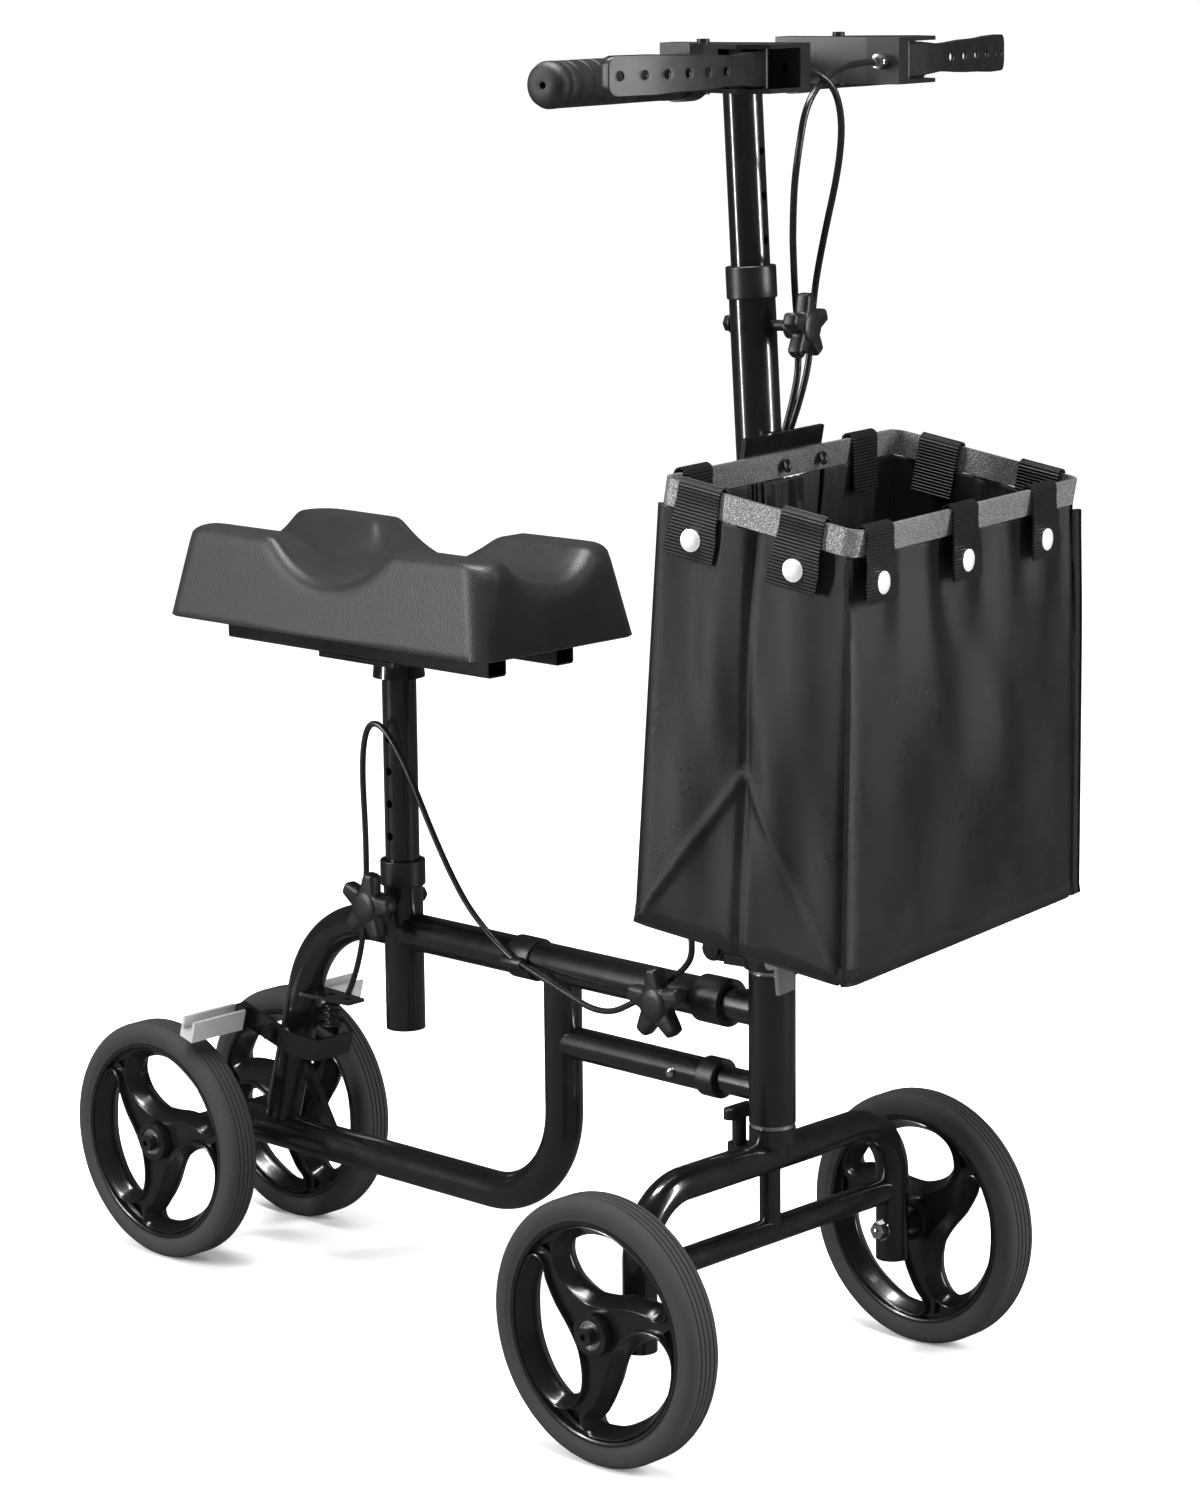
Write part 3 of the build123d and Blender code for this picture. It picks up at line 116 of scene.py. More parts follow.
@dataclass
class Shell:
    """A mesh under construction: vertices, faces as index lists, a UV per corner, a paint per face."""

    verts: np.ndarray
    faces: list
    uv: np.ndarray
    paint: np.ndarray

    def __add__(self, other: Shell) -> Shell:
        """Both shells in one."""
        shift = len(self.verts)
        return Shell(
            np.concatenate([self.verts, other.verts]),
            self.faces + [[i + shift for i in face] for face in other.faces],
            np.concatenate([self.uv, other.uv]),
            np.concatenate([self.paint, other.paint]),
        )

    def painted(self, index: int) -> Shell:
        """The same shell with every face in material slot index."""
        return Shell(self.verts, self.faces, self.uv, np.full(len(self.faces), index))

    def placed(self, place: Place) -> Shell:
        """The shell carried from local millimetres into the row frame."""
        return Shell(place.points(self.verts), self.faces, self.uv, self.paint)

    def build(self, name: str, finishes: list, smooth: float = 40.0) -> bpy.types.Object:
        """Makes the Blender object.

        Args:
            name: the piece's name.
            finishes: materials in slot order.
            smooth: edges sharper than this many degrees stay crisp.

        Returns:
            The object, linked to the scene.
        """
        mesh = bpy.data.meshes.new(name)
        mesh.from_pydata(self.verts.tolist(), [], self.faces)
        layer = mesh.uv_layers.new(name="UVMap")
        layer.data.foreach_set("uv", np.asarray(self.uv, np.float32).ravel())
        mesh.polygons.foreach_set("material_index", np.asarray(self.paint, np.int32))
        for finish in finishes:
            mesh.materials.append(finish)
        work = bmesh.new()
        work.from_mesh(mesh)
        bmesh.ops.remove_doubles(work, verts=work.verts, dist=WELD)
        bmesh.ops.recalc_face_normals(work, faces=work.faces)
        work.to_mesh(mesh)
        work.free()
        mesh.shade_smooth()
        mesh.set_sharp_from_angle(angle=math.radians(smooth))
        mesh.validate()
        mesh.update()
        made = bpy.data.objects.new(name, mesh)
        bpy.context.scene.collection.objects.link(made)
        return made


def merged(shells: Iterable[Shell]) -> Shell:
    """Several shells in one."""
    return reduce(operator.add, shells)


def unit(vectors: np.ndarray) -> np.ndarray:
    """Vectors, along the last axis, at length one."""
    return vectors / np.linalg.norm(vectors, axis=-1, keepdims=True)


def circle(count: int) -> np.ndarray:
    """Points (count, 2) evenly round the unit circle, anticlockwise from x."""
    a = np.linspace(0.0, TAU, count, endpoint=False)
    return np.stack([np.cos(a), np.sin(a)], -1)


def distances(path: np.ndarray) -> np.ndarray:
    """How far along a line of points each one lies."""
    return np.concatenate([[0.0], np.cumsum(np.linalg.norm(np.diff(path, axis=0), axis=1))])


def sheet_grid(points: np.ndarray, around: bool = False, along: bool = False, capped: bool = False,
               along_mm: np.ndarray | None = None, around_mm: np.ndarray | None = None) -> Shell:
    """A surface of quads over a grid of points.

    The grid's first axis runs along the surface and its second runs round it. Faces look along
    (along direction) x (round direction).

    Args:
        points: array (m, n, 3).
        around: joins the last column to the first.
        along: joins the last row to the first.
        capped: closes the first and last rows, each with one flat face.
        along_mm: distance along, for UV, m values or m + 1 when joined.
        around_mm: distance round, for UV, n values or n + 1 when joined.

    Returns:
        The shell.
    """
    m, n = points.shape[:2]
    rows, cols = (m if along else m - 1), (n if around else n - 1)
    i, j = np.meshgrid(np.arange(rows), np.arange(cols), indexing="ij")
    i1, j1 = (i + 1) % m, (j + 1) % n
    quads = np.stack([i * n + j, i1 * n + j, i1 * n + j1, i * n + j1], -1).reshape(-1, 4)
    u = np.arange(rows + 1.0) if along_mm is None else np.asarray(along_mm, float)
    v = np.arange(cols + 1.0) if around_mm is None else np.asarray(around_mm, float)
    uv = np.stack([np.stack([u[i], v[j]], -1), np.stack([u[i + 1], v[j]], -1),
                   np.stack([u[i + 1], v[j + 1]], -1), np.stack([u[i], v[j + 1]], -1)], 2)
    faces = quads.tolist()
    flat = uv.reshape(-1, 2) / MM
    if capped:
        faces += [list(range(n)), list(range(m * n - 1, (m - 1) * n - 1, -1))]
        flat = np.concatenate([flat, np.zeros((2 * n, 2))])
    return Shell(points.reshape(-1, 3), faces, flat, np.zeros(len(faces), int))


def revolved(profile: list, segments: int = 64, closed: bool = False) -> Shell:
    """A profile of (radius, height) turned about local z.

    The point at angle a is (r cos a, r sin a, h). The profile runs so that the outside is on its
    right: upwards for an outer wall.
    """
    p = np.asarray(profile, float)
    pts = np.concatenate([p[:, None, :1] * circle(segments)[None],
                          np.repeat(p[:, None, 1:], segments, 1)], 2)
    run = distances(np.append(p, p[:1], 0) if closed else p)
    turn = np.linspace(0.0, TAU, segments + 1) * p[:, 0].max()
    return sheet_grid(pts[::-1], around=True, along=closed, along_mm=run, around_mm=turn)


def catmull_rom(spans: tuple, steps: int) -> np.ndarray:
    """Points on smooth spans.

    Args:
        spans: the point before each span, its two ends and the point after, as four arrays.
        steps: points to each span, its first end among them and its last end not.

    Returns:
        All the points in one array.
    """
    a, b, c, d = (p[:, None] for p in spans)
    t = np.linspace(0.0, 1.0, steps, endpoint=False)[None, :, None]
    curve = 0.5 * (2 * b + (c - a) * t + (2 * a - 5 * b + 4 * c - d) * t**2
                   + (3 * b - a - 3 * c + d) * t**3)
    return curve.reshape(-1, curve.shape[-1])


def loop_through(points: list, steps: int = 10) -> np.ndarray:
    """A smooth closed line through points, with steps points to each span."""
    p = np.asarray(points, float)
    return catmull_rom((np.roll(p, 1, 0), p, np.roll(p, -1, 0), np.roll(p, -2, 0)), steps)


def line_through(points: list, steps: int = 10) -> np.ndarray:
    """A smooth open line through points, with the end spans run straight on past each end."""
    p = np.asarray(points, float)
    q = np.concatenate([[2 * p[0] - p[1]], p, [2 * p[-1] - p[-2]]])
    return np.concatenate([catmull_rom((q[:-3], q[1:-2], q[2:-1], q[3:]), steps), p[-1:]])


def rounded(width: float, height: float, radius: float, steps: int = 4) -> np.ndarray:
    """A rounded rectangle about the origin, anticlockwise, as a section."""
    w, h = width / 2 - radius, height / 2 - radius
    middles = np.array([(w, h), (-w, h), (-w, -h), (w, -h)])
    a = np.linspace(0.0, math.pi / 2, steps + 1)[None] + np.arange(4)[:, None] * math.pi / 2
    return (middles[:, None] + np.stack([np.cos(a), np.sin(a)], -1) * radius).reshape(-1, 2)


def from_mesh(mesh: bpy.types.Mesh) -> Shell:
    """Turns a Blender mesh into a shell and removes it."""
    verts = np.empty(len(mesh.vertices) * 3)
    mesh.vertices.foreach_get("co", verts)
    faces = [list(p.vertices) for p in mesh.polygons]
    corners = sum(len(face) for face in faces)
    bpy.data.meshes.remove(mesh)
    return Shell(verts.reshape(-1, 3), faces, np.zeros((corners, 2)), np.zeros(len(faces), int))


def from_curve(curve: bpy.types.Curve) -> Shell:
    """Turns a Blender curve into a shell and removes it."""
    holder = bpy.data.objects.new("curve_work", curve)
    bpy.context.scene.collection.objects.link(holder)
    graph = bpy.context.evaluated_depsgraph_get()
    mesh = bpy.data.meshes.new_from_object(holder.evaluated_get(graph))
    bpy.data.objects.remove(holder)
    bpy.data.curves.remove(curve)
    return from_mesh(mesh)


def sliced(shell: Shell, cuts: np.ndarray) -> Shell:
    """The shell with its faces cut at each local x in cuts, so that it can be bent along x."""
    mesh = bpy.data.meshes.new("slice_work")
    mesh.from_pydata(shell.verts.tolist(), [], shell.faces)
    work = bmesh.new()
    work.from_mesh(mesh)
    for cut in cuts:
        bmesh.ops.bisect_plane(work, geom=work.verts[:] + work.edges[:] + work.faces[:],
                               plane_co=(cut, 0, 0), plane_no=(1, 0, 0))
    work.to_mesh(mesh)
    work.free()
    return from_mesh(mesh)


def plate(outlines: list, low: float, high: float, bevel: float = 0.0) -> Shell:
    """A flat plate in local x, y with rounded edges; later outlines are holes in the first.

    Args:
        outlines: arrays (n, 2) in millimetres.
        low: local z of its lower face.
        high: local z of its upper face.
        bevel: edge radius.

    Returns:
        The shell.
    """
    curve = bpy.data.curves.new("plate_work", "CURVE")
    curve.dimensions, curve.fill_mode = "2D", "BOTH"
    for outline in outlines:
        spline = curve.splines.new("POLY")
        spline.points.add(len(outline) - 1)
        flat = np.concatenate([outline, np.zeros((len(outline), 1)), np.ones((len(outline), 1))], 1)
        spline.points.foreach_set("co", flat.astype(np.float32).ravel())
        spline.use_cyclic_u = True
    curve.extrude = (high - low) / 2 - bevel
    curve.bevel_depth, curve.bevel_resolution, curve.offset = bevel, 2, -bevel
    shell = from_curve(curve)
    shell.verts = shell.verts + [0.0, 0.0, (high + low) / 2]
    return shell


def cable_line(points: list, radius: float, steps: int = 14) -> Shell:
    """A round sheath along a smooth NURBS line that has the given points as its controls."""
    curve = bpy.data.curves.new("cable_work", "CURVE")
    curve.dimensions = "3D"
    spline = curve.splines.new("NURBS")
    spline.points.add(len(points) - 1)
    co = np.concatenate([np.asarray(points, float), np.ones((len(points), 1))], 1)
    spline.points.foreach_set("co", co.astype(np.float32).ravel())
    spline.order_u, spline.use_endpoint_u = 3, True
    curve.resolution_u, curve.bevel_depth, curve.bevel_resolution = steps, radius, 4
    curve.use_fill_caps = True
    return from_curve(curve)


def hexagon(across: float, height: float, z: float = 0.0) -> Shell:
    """A hexagonal nut or bolt head with a chamfered crown, across the flats, standing on z."""
    r = across / math.sqrt(3)
    levels = [(0.9 * r, 0.0), (r, 0.12 * height), (r, 0.8 * height), (0.84 * r, height), (0.3 * r, height)]
    pts = np.array([np.append(circle(6) * k, np.full((6, 1), z + h), 1) for k, h in levels])
    return sheet_grid(pts[::-1], around=True, capped=True)


def dome(radius: float, height: float, z: float = 0.0, segments: int = 28) -> Shell:
    """A low rounded cap standing on z: an ellipse's quarter turned about local z."""
    a = np.linspace(0.0, math.pi / 2, 8)
    profile = np.stack([radius * np.cos(a), z + height * np.sin(a)], -1)
    profile[-1, 0] = CENTRE
    return revolved([(radius * 0.96, z - 0.4)] + profile.tolist(), segments)


# ------------------------------------------------------------------------------------- finishes
class Pattern(Enum):
    """What a finish's fine relief looks like."""

    GRAIN = "fine grain"
    LEATHER = "pebbled leather grain"
    WEAVE = "plain weave"
    RIBS = "ribs across the piece"
    SPARKLE = "metal flake"
    TURNED = "lathe marks"


class Tree:
    """A node tree being written: adds nodes, sets their inputs and links them."""

    def __init__(self, tree: bpy.types.NodeTree, clear: bool = True) -> None:
        """Keeps the tree, and empties it first unless told not to."""
        self.tree = tree
        if clear:
            self.tree.nodes.clear()

    def link(self, output: bpy.types.NodeSocket, socket: bpy.types.NodeSocket) -> None:
        """Joins one node's output to another's input."""
        self.tree.links.new(output, socket)

    def add(self, kind: str, props: dict | None = None, **inputs: object) -> bpy.types.Node:
        """Adds one node.

        Args:
            kind: the node type without "ShaderNode".
            props: attributes of the node itself.
            inputs: socket names, with "_" for a space, or i0, i1 for sockets by number; an output
                socket is linked and anything else is set.

        Returns:
            The node.
        """
        node = self.tree.nodes.new(kind if kind.startswith("Node") else "ShaderNode" + kind)
        for name, value in (props or {}).items():
            setattr(node, name, value)
        for name, value in inputs.items():
            number = name[0] == "i" and name[1:].isdigit()
            socket = node.inputs[int(name[1:])] if number else node.inputs[name.replace("_", " ")]
            if isinstance(value, bpy.types.NodeSocket):
                self.link(value, socket)
            else:
                socket.default_value = value
        return node

    def math(self, operation: str, a: object, b: object = 0.0) -> bpy.types.NodeSocket:
        """One Math node's result."""
        return self.add("Math", {"operation": operation}, i0=a, i1=b).outputs[0]


def new_group(name: str, inputs: list, outputs: list) -> tuple[Tree, bpy.types.Node]:
    """Starts a shader node group.

    Args:
        name: the group's name.
        inputs: (name, socket type, default) for each input.
        outputs: (name, socket type) for each output.

    Returns:
        The tree and its input node.
    """
    group = bpy.data.node_groups.new(name, "ShaderNodeTree")
    for label, kind, value in inputs:
        made = group.interface.new_socket(name=label, in_out="INPUT", socket_type="NodeSocket" + kind)
        if value is not None:
            made.default_value = value
    for label, kind in outputs:
        group.interface.new_socket(name=label, in_out="OUTPUT", socket_type="NodeSocket" + kind)
    tree = Tree(group)
    return tree, tree.add("NodeGroupInput")


def end_group(tree: Tree, **outputs: bpy.types.NodeSocket) -> bpy.types.NodeTree:
    """Links a group's outputs by name and returns the group."""
    out = tree.add("NodeGroupOutput")
    for name, socket in outputs.items():
        tree.link(socket, out.inputs[name])
    return tree.tree


def tone_group() -> bpy.types.NodeTree:
    """Colour and gloss that vary softly over a surface: broad cloudy noise mixed with finer noise.

    Shade is the mixed colour, Cloud the mask from 0 to 1, and Gloss a roughness between two ends.
    """
    tree, given = new_group("surface_tone", [
        ("Vector", "Vector", None), ("Scale", "Float", 8.0), ("Dark", "Color", (0.01, 0.01, 0.01, 1)),
        ("Light", "Color", (0.03, 0.03, 0.03, 1)), ("Smooth", "Float", 0.3), ("Rough", "Float", 0.5),
    ], [("Shade", "Color"), ("Cloud", "Float"), ("Gloss", "Float")])
    broad = tree.add("TexNoise", Vector=given.outputs[0], Scale=given.outputs[1], Detail=4.0, Roughness=0.55)
    finer = tree.math("MULTIPLY", given.outputs[1], 7.3)
    fine = tree.add("TexNoise", Vector=given.outputs[0], Scale=finer, Detail=3.0, Roughness=0.6)
    both = tree.math("ADD", tree.math("MULTIPLY", broad.outputs[0], 0.65),
                     tree.math("MULTIPLY", fine.outputs[0], 0.35))
    spread = tree.add("MapRange", i0=both, i1=0.34, i2=0.66)
    shade = tree.add("Mix", {"data_type": "RGBA"}, i0=spread.outputs[0], i6=given.outputs[2],
                     i7=given.outputs[3])
    gloss = tree.add("Mix", {"data_type": "FLOAT"}, i0=spread.outputs[0], i2=given.outputs[4],
                     i3=given.outputs[5])
    return end_group(tree, Shade=shade.outputs[2], Cloud=spread.outputs[0], Gloss=gloss.outputs[0])


def relief_group(pattern: Pattern) -> bpy.types.NodeTree:
    """Height from 0 to 1 of one kind of relief; Scale is its cells or threads in each metre."""
    tree, given = new_group("relief_" + pattern.name.lower(), [
        ("Vector", "Vector", None), ("Scale", "Float", 400.0)], [("Height", "Float")])
    vector, scale = given.outputs[0], given.outputs[1]
    if pattern in (Pattern.GRAIN, Pattern.TURNED):
        height = tree.add("TexNoise", Vector=vector, Scale=scale, Detail=3.0, Roughness=0.7).outputs[0]
    elif pattern in (Pattern.LEATHER, Pattern.SPARKLE):
        cells = tree.add("TexVoronoi", {"feature": "F1" if pattern is Pattern.SPARKLE else "SMOOTH_F1"},
                         Vector=vector, Scale=scale)
        height = cells.outputs["Distance"]
    else:
        parts = tree.add("SeparateXYZ", i0=vector)
        waves = [tree.math("SINE", tree.math("MULTIPLY", tree.math("MULTIPLY", parts.outputs[k], scale),
                                             TAU)) for k in (0, 1)]
        wave = waves[0] if pattern is Pattern.RIBS else tree.math("MULTIPLY", *waves)
        height = tree.math("ADD", tree.math("MULTIPLY", wave, 0.5), 0.5)
    return end_group(tree, Height=height)


GROUPS: dict = {}


def group_for(pattern: Pattern | None) -> bpy.types.NodeTree:
    """The relief group of a pattern, or the tone group for None, built once."""
    if pattern not in GROUPS:
        GROUPS[pattern] = tone_group() if pattern is None else relief_group(pattern)
    return GROUPS[pattern]


@dataclass(frozen=True)
class Finish:
    """One surface finish: two tones, a gloss range, a relief, and the plain values of its shader."""

    name: str
    slot: str
    dark: tuple
    light: tuple
    smooth: float = 0.3
    rough: float = 0.45
    metallic: float = 0.0
    coat: float = 0.0
    sheen: float = 0.0
    tone_scale: float = 9.0
    pattern: Pattern = Pattern.GRAIN
    scale: float = 700.0
    depth: float = 0.0002
    on_uv: bool = False
    flake: float = 0.0
    specular: float = 0.4
    coat_rough: float = 0.06
    flake_tone: tuple = (0.75, 0.77, 0.8)

    def material(self) -> bpy.types.Material:
        """The finish as a material, built once."""
        made = bpy.data.materials.get(self.name)
        if made:
            return made
        made = bpy.data.materials.new(self.name)
        made.use_nodes = True
        made.diffuse_color = (*self.light, 1.0)
        tree = Tree(made.node_tree)
        where = tree.add("TexCoord")
        body = where.outputs["Object"]
        tone = tree.add("Group", {"node_tree": group_for(None)}, Vector=body, Scale=self.tone_scale,
                        Dark=(*self.dark, 1), Light=(*self.light, 1), Smooth=self.smooth, Rough=self.rough)
        relief = tree.add("Group", {"node_tree": group_for(self.pattern)},
                          Vector=where.outputs["UV"] if self.on_uv else body, Scale=self.scale)
        color = tone.outputs["Shade"]
        if self.flake:
            spark = tree.add("MapRange", i0=relief.outputs[0], i1=0.42, i2=0.12, i3=0.0, i4=self.flake)
            color = tree.add("Mix", {"data_type": "RGBA"}, i0=spark.outputs[0], i6=color,
                             i7=(*self.flake_tone, 1)).outputs[2]
        bump = tree.add("Bump", Height=relief.outputs[0], Distance=self.depth, Strength=1.0)
        shader = tree.add("BsdfPrincipled", Base_Color=color, Roughness=tone.outputs["Gloss"],
                          Metallic=self.metallic, Normal=bump.outputs[0])
        for socket, value in (("Specular IOR Level", self.specular), ("Coat Weight", self.coat),
                              ("Coat Roughness", self.coat_rough), ("Sheen Weight", self.sheen)):
            shader.inputs[socket].default_value = value
        out = tree.add("OutputMaterial")
        tree.link(shader.outputs[0], out.inputs[0])
        return made


def grey(value: float) -> tuple:
    """A neutral colour of one linear value."""
    return (value, value, value)


GLOSS_PAINT = Finish("gloss_black_paint", "frame_paint", grey(0.0025), grey(0.005), 0.16, 0.24, coat=0.5,
                     scale=260, depth=0.00005, specular=0.45)
POWDER = Finish("sparkle_powder_coat", "basket_powder", grey(0.10), grey(0.15), 0.34, 0.48, metallic=0.6,
                pattern=Pattern.SPARKLE, scale=900, depth=0.00025, flake=0.5)
SATIN_PLASTIC = Finish("satin_black_plastic", "black_plastic", grey(0.004), grey(0.008), 0.28, 0.4,
                       scale=1400, depth=0.0001, specular=0.35)
RIM_PLASTIC = Finish("gloss_rim_plastic", "rim_plastic", grey(0.0035), grey(0.006), 0.18, 0.26, coat=0.15,
                     scale=300, depth=0.00005, specular=0.4)
TYRE_RUBBER = Finish("tyre_rubber", "tyre_rubber", grey(0.0025), grey(0.0045), 0.16, 0.24, scale=900,
                     depth=0.00008, specular=0.4)
TURNED_STEEL = Finish("turned_steel", "steel", grey(0.42), grey(0.6), 0.18, 0.34, metallic=1.0,
                      pattern=Pattern.TURNED, scale=1500, depth=0.00008)
BLACK_BOLT = Finish("blackened_bolt", "black_bolt", grey(0.01), grey(0.025), 0.26, 0.4, metallic=0.7,
                    scale=900, depth=0.0001)
CHROME = Finish("bright_chrome", "chrome", grey(0.68), grey(0.85), 0.12, 0.2, metallic=1.0, scale=500,
                depth=0.00003)
NICKEL = Finish("satin_nickel", "chrome", grey(0.86), grey(0.95), 0.34, 0.46, metallic=0.75, scale=700,
                depth=0.00003)
CAST_ALUMINIUM = Finish("satin_aluminium", "shoe_aluminium", grey(0.46), grey(0.6), 0.34, 0.5,
                        metallic=0.7, scale=1100, depth=0.00018)
CABLE_SHEATH = Finish("cable_sheath", "cable_rubber", grey(0.004), grey(0.008), 0.22, 0.32, scale=900,
                      depth=0.00006)
GRIP_RUBBER = Finish("moulded_grip_rubber", "grip_rubber", grey(0.004), grey(0.008), 0.4, 0.55, scale=1600,
                     depth=0.00016, specular=0.35)
PAD_SKIN = Finish("pad_leathercloth", "pad_skin", grey(0.006), grey(0.010), 0.4, 0.5, sheen=0.02,
                  pattern=Pattern.LEATHER, scale=900, depth=0.0002, tone_scale=5, specular=0.35)
BAG_FABRIC = Finish("bag_nylon", "bag_fabric", grey(0.007), grey(0.012), 0.5, 0.66, sheen=0.04,
                    pattern=Pattern.WEAVE, scale=1700, depth=0.00001, on_uv=True, tone_scale=6, specular=0.16)
# Inner face of the bag cloth: painted shade, a darker tone that stands in for the shade inside the bag; its
# weave relief and gloss are the cloth's own.
BAG_INSIDE_SHADE = Finish("bag_inside_painted_shade", "bag_fabric", grey(0.003), grey(0.006), 0.26, 0.38,
                    pattern=Pattern.WEAVE, scale=900, depth=0.00015, on_uv=True, specular=0.3)
BINDING = Finish("binding_tape", "bag_fabric", grey(0.004), grey(0.007), 0.5, 0.62,
                 pattern=Pattern.RIBS, scale=900, depth=0.0003, on_uv=True, specular=0.2)
WEBBING = Finish("ribbed_webbing", "webbing", grey(0.003), grey(0.006), 0.4, 0.52,
                 pattern=Pattern.RIBS, scale=420, depth=0.0006, on_uv=True, specular=0.25)
THREAD = Finish("sewing_thread", "webbing", grey(0.002), grey(0.004), 0.5, 0.6, scale=2500, depth=0.0001)
NODE_FINISHES = {
    "frame_paint": GLOSS_PAINT, "basket_powder": POWDER, "black_plastic": SATIN_PLASTIC,
    "rim_plastic": RIM_PLASTIC, "tyre_rubber": TYRE_RUBBER, "steel": TURNED_STEEL,
    "black_bolt": BLACK_BOLT, "chrome": CHROME, "shoe_aluminium": CAST_ALUMINIUM,
    "cable_rubber": CABLE_SHEATH, "grip_rubber": GRIP_RUBBER, "pad_skin": PAD_SKIN,
    "bag_fabric": BAG_FABRIC, "webbing": WEBBING,
}


def join_piece(made: bpy.types.Object, body: str, slot: str, *stands_for: str,
               bend: tuple | None = None) -> bpy.types.Object:
    """Puts a finished piece on its body, or leaves it baked in the row frame when it crosses a joint, and
    hides the CAD nodes that it stands for.

    Args:
        made: the piece.
        body: the body that it rides on; with bend it is only named in the log.
        slot: its material slot; not used.
        stands_for: the CAD nodes that it replaces.
        bend: (other body, start point, end point) in metres for a piece across a joint; only whether it is
            given is read.

    Returns:
        The piece.
    """
    if stands_for:
        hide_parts(*stands_for)
    if bend:
        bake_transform(made)
    else:
        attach(made, body)
    LOG.info("%s: %d faces on %s", made.name, len(made.data.polygons), body)
    return made


# --------------------------------------------------------------------------------------- wheels
@dataclass
class Wheel:
    """One wheel in its own place: x along the ground, y up, z out of the face that shows."""

    name: str
    place: Place
    radius: float = 100.0
    half_width: float = 15.5
    seat: float = 83.0
    lead: float = 0.0
    grooves: tuple = (-6.6, -2.2, 2.2, 6.6)
    spokes: int = 3
    segments: int = 144
    web: float = 8.2                # half the rim plates' thickness
    core: float = 4.6               # half of what is left in the pockets
    ring_out: float = 79.5
    ring_in: float = 12.0
    lip: tuple = ((117, 75.5), (129, 65), (134, 50), (131, 36), (112, 23.5), (85, 21), (55, 27), (38, 41),
                  (27, 56), (21, 64), (20.5, 72), (24, 77.0), (32, 78), (50, 78), (75, 78), (98, 78))
    pocket: tuple = ((3, 74), (16, 77), (12.5, 66))

    def tyre(self) -> Shell:
        """Solid tyre: half a section of tread with grooves, round shoulders, wall and bead, turned."""
        groove, depth, shoulder = 0.55, 1.1, 8.0
        tread = []
        for z in self.grooves:
            tread += [(self.radius, z - groove), (self.radius - depth, z - groove * 0.6),
                      (self.radius - depth, z + groove * 0.6), (self.radius, z + groove)]
        a = np.linspace(0.0, math.pi / 2, 9)
        top = np.stack([self.radius - shoulder + shoulder * np.cos(a),
                        self.half_width - shoulder + shoulder * np.sin(a)], -1)
        wall = [(87.5, self.half_width), (86.3, self.half_width - 0.6), (85.0, 14.0), (self.seat, 13.4)]
        upper = top.tolist() + wall
        lower = [(r, -z) for r, z in upper[::-1]]
        return revolved(lower + tread + upper, self.segments, closed=True)

    def polar(self, points: tuple, turn: float) -> np.ndarray:
        """Angles in degrees and radii to flat points, turned by an angle in degrees."""
        p = np.asarray(points, float)
        a = np.radians(p[:, 0] + turn + self.lead)
        return np.stack([np.cos(a), np.sin(a)], -1) * p[:, 1:]

    def rim(self) -> Shell:
        """Moulded rim: flange ring, web plates pierced by comma openings, a lip and a funnel round each.

        The lip and funnel are one closed section carried round the opening's outline: each point
        stands off the outline by its offset along the outline's inward normal, at its own height.
        """
        web, core = self.web, self.core
        holes, pockets = [], []
        shell = revolved([(self.seat, -13.2), (self.seat, 13.2), (82.4, 13.8), (80.4, 13.8), (79.6, 13.2),
                          (78.9, web), (77.0, core), (77.0, -core), (78.9, -web), (79.6, -13.2),
                          (80.4, -13.8), (82.4, -13.8)], self.segments, closed=True)
        half = [(-1.3, web - 1), (-1.1, 11.8), (-0.7, 12.4), (0.0, 12.6), (0.6, 12.3), (1.0, 11.4),
                (2.4, 9.0), (5.4, 4.6), (7.4, 1.4), (7.8, 0.0)]
        section = np.array(half + [(a, -z) for a, z in half[-2::-1]])
        for k in range(self.spokes):
            line = loop_through(self.polar(self.lip, 360.0 / self.spokes * k), 8)
            ahead = unit(np.roll(line, -1, 0) - np.roll(line, 1, 0))
            area = np.sum(line[:, 0] * np.roll(line[:, 1], -1) - np.roll(line[:, 0], -1) * line[:, 1])
            inward = np.stack([-ahead[:, 1], ahead[:, 0]], -1) * np.sign(area)
            flat = line[:, None] + inward[:, None] * section[None, :, :1]
            pts = np.concatenate([flat, np.broadcast_to(section[None, :, 1:], (*flat.shape[:2], 1))], 2)
            shell = shell + sheet_grid(pts, around=True, along=True)
            holes.append(line)
            pockets.append(self.polar(self.pocket, 360.0 / self.spokes * k))
        holes = [circle(96) * self.ring_out, circle(96) * self.ring_in] + holes
        shell = shell + plate(holes, -core, core)
        for side in (1, -1):
            low, high = sorted((side * core, side * web))
            shell = shell + plate(holes + pockets, low, high)
        boss = [(11.05, 16.3), (11.3, 17.1), (15.2, 17.1), (15.9, 16.4), (16.4, web)]
        lower = [(r, -z) for r, z in boss[::-1]]
        return shell + revolved(lower + boss, 72, closed=True)

    def bearing(self) -> Shell:
        """Two bearings: outer ring, recessed seal and inner ring on each face, turned about the axle."""
        face, inner = 15.8, 9.0
        both = []
        for side in (1, -1):
            profile = [(r, side * (face + z)) for r, z in (
                (11.0, 0.0), (10.7, 0.3), (9.2, 0.3), (9.0, -0.5), (6.9, -0.5), (6.7, 0.2), (4.2, 0.2))]
            profile += [(4.2, side * inner), (11.0, side * inner)]
            both.append(revolved(profile[::-side], 64, closed=True))
        return merged(both)

    def build(self) -> None:
        """Makes the tyre, rim and bearings and puts them in place of their CAD nodes."""
        body = self.name + "_wheel"
        for part, shell, finish in (("tyre", self.tyre(), TYRE_RUBBER), ("rim", self.rim(), RIM_PLASTIC),
                                    ("bearings", self.bearing(), TURNED_STEEL)):
            node = f"{self.name}_{part}"
            made = shell.placed(self.place).build(node + "_detail", [finish.material()])
            join_piece(made, body, finish.slot, node)


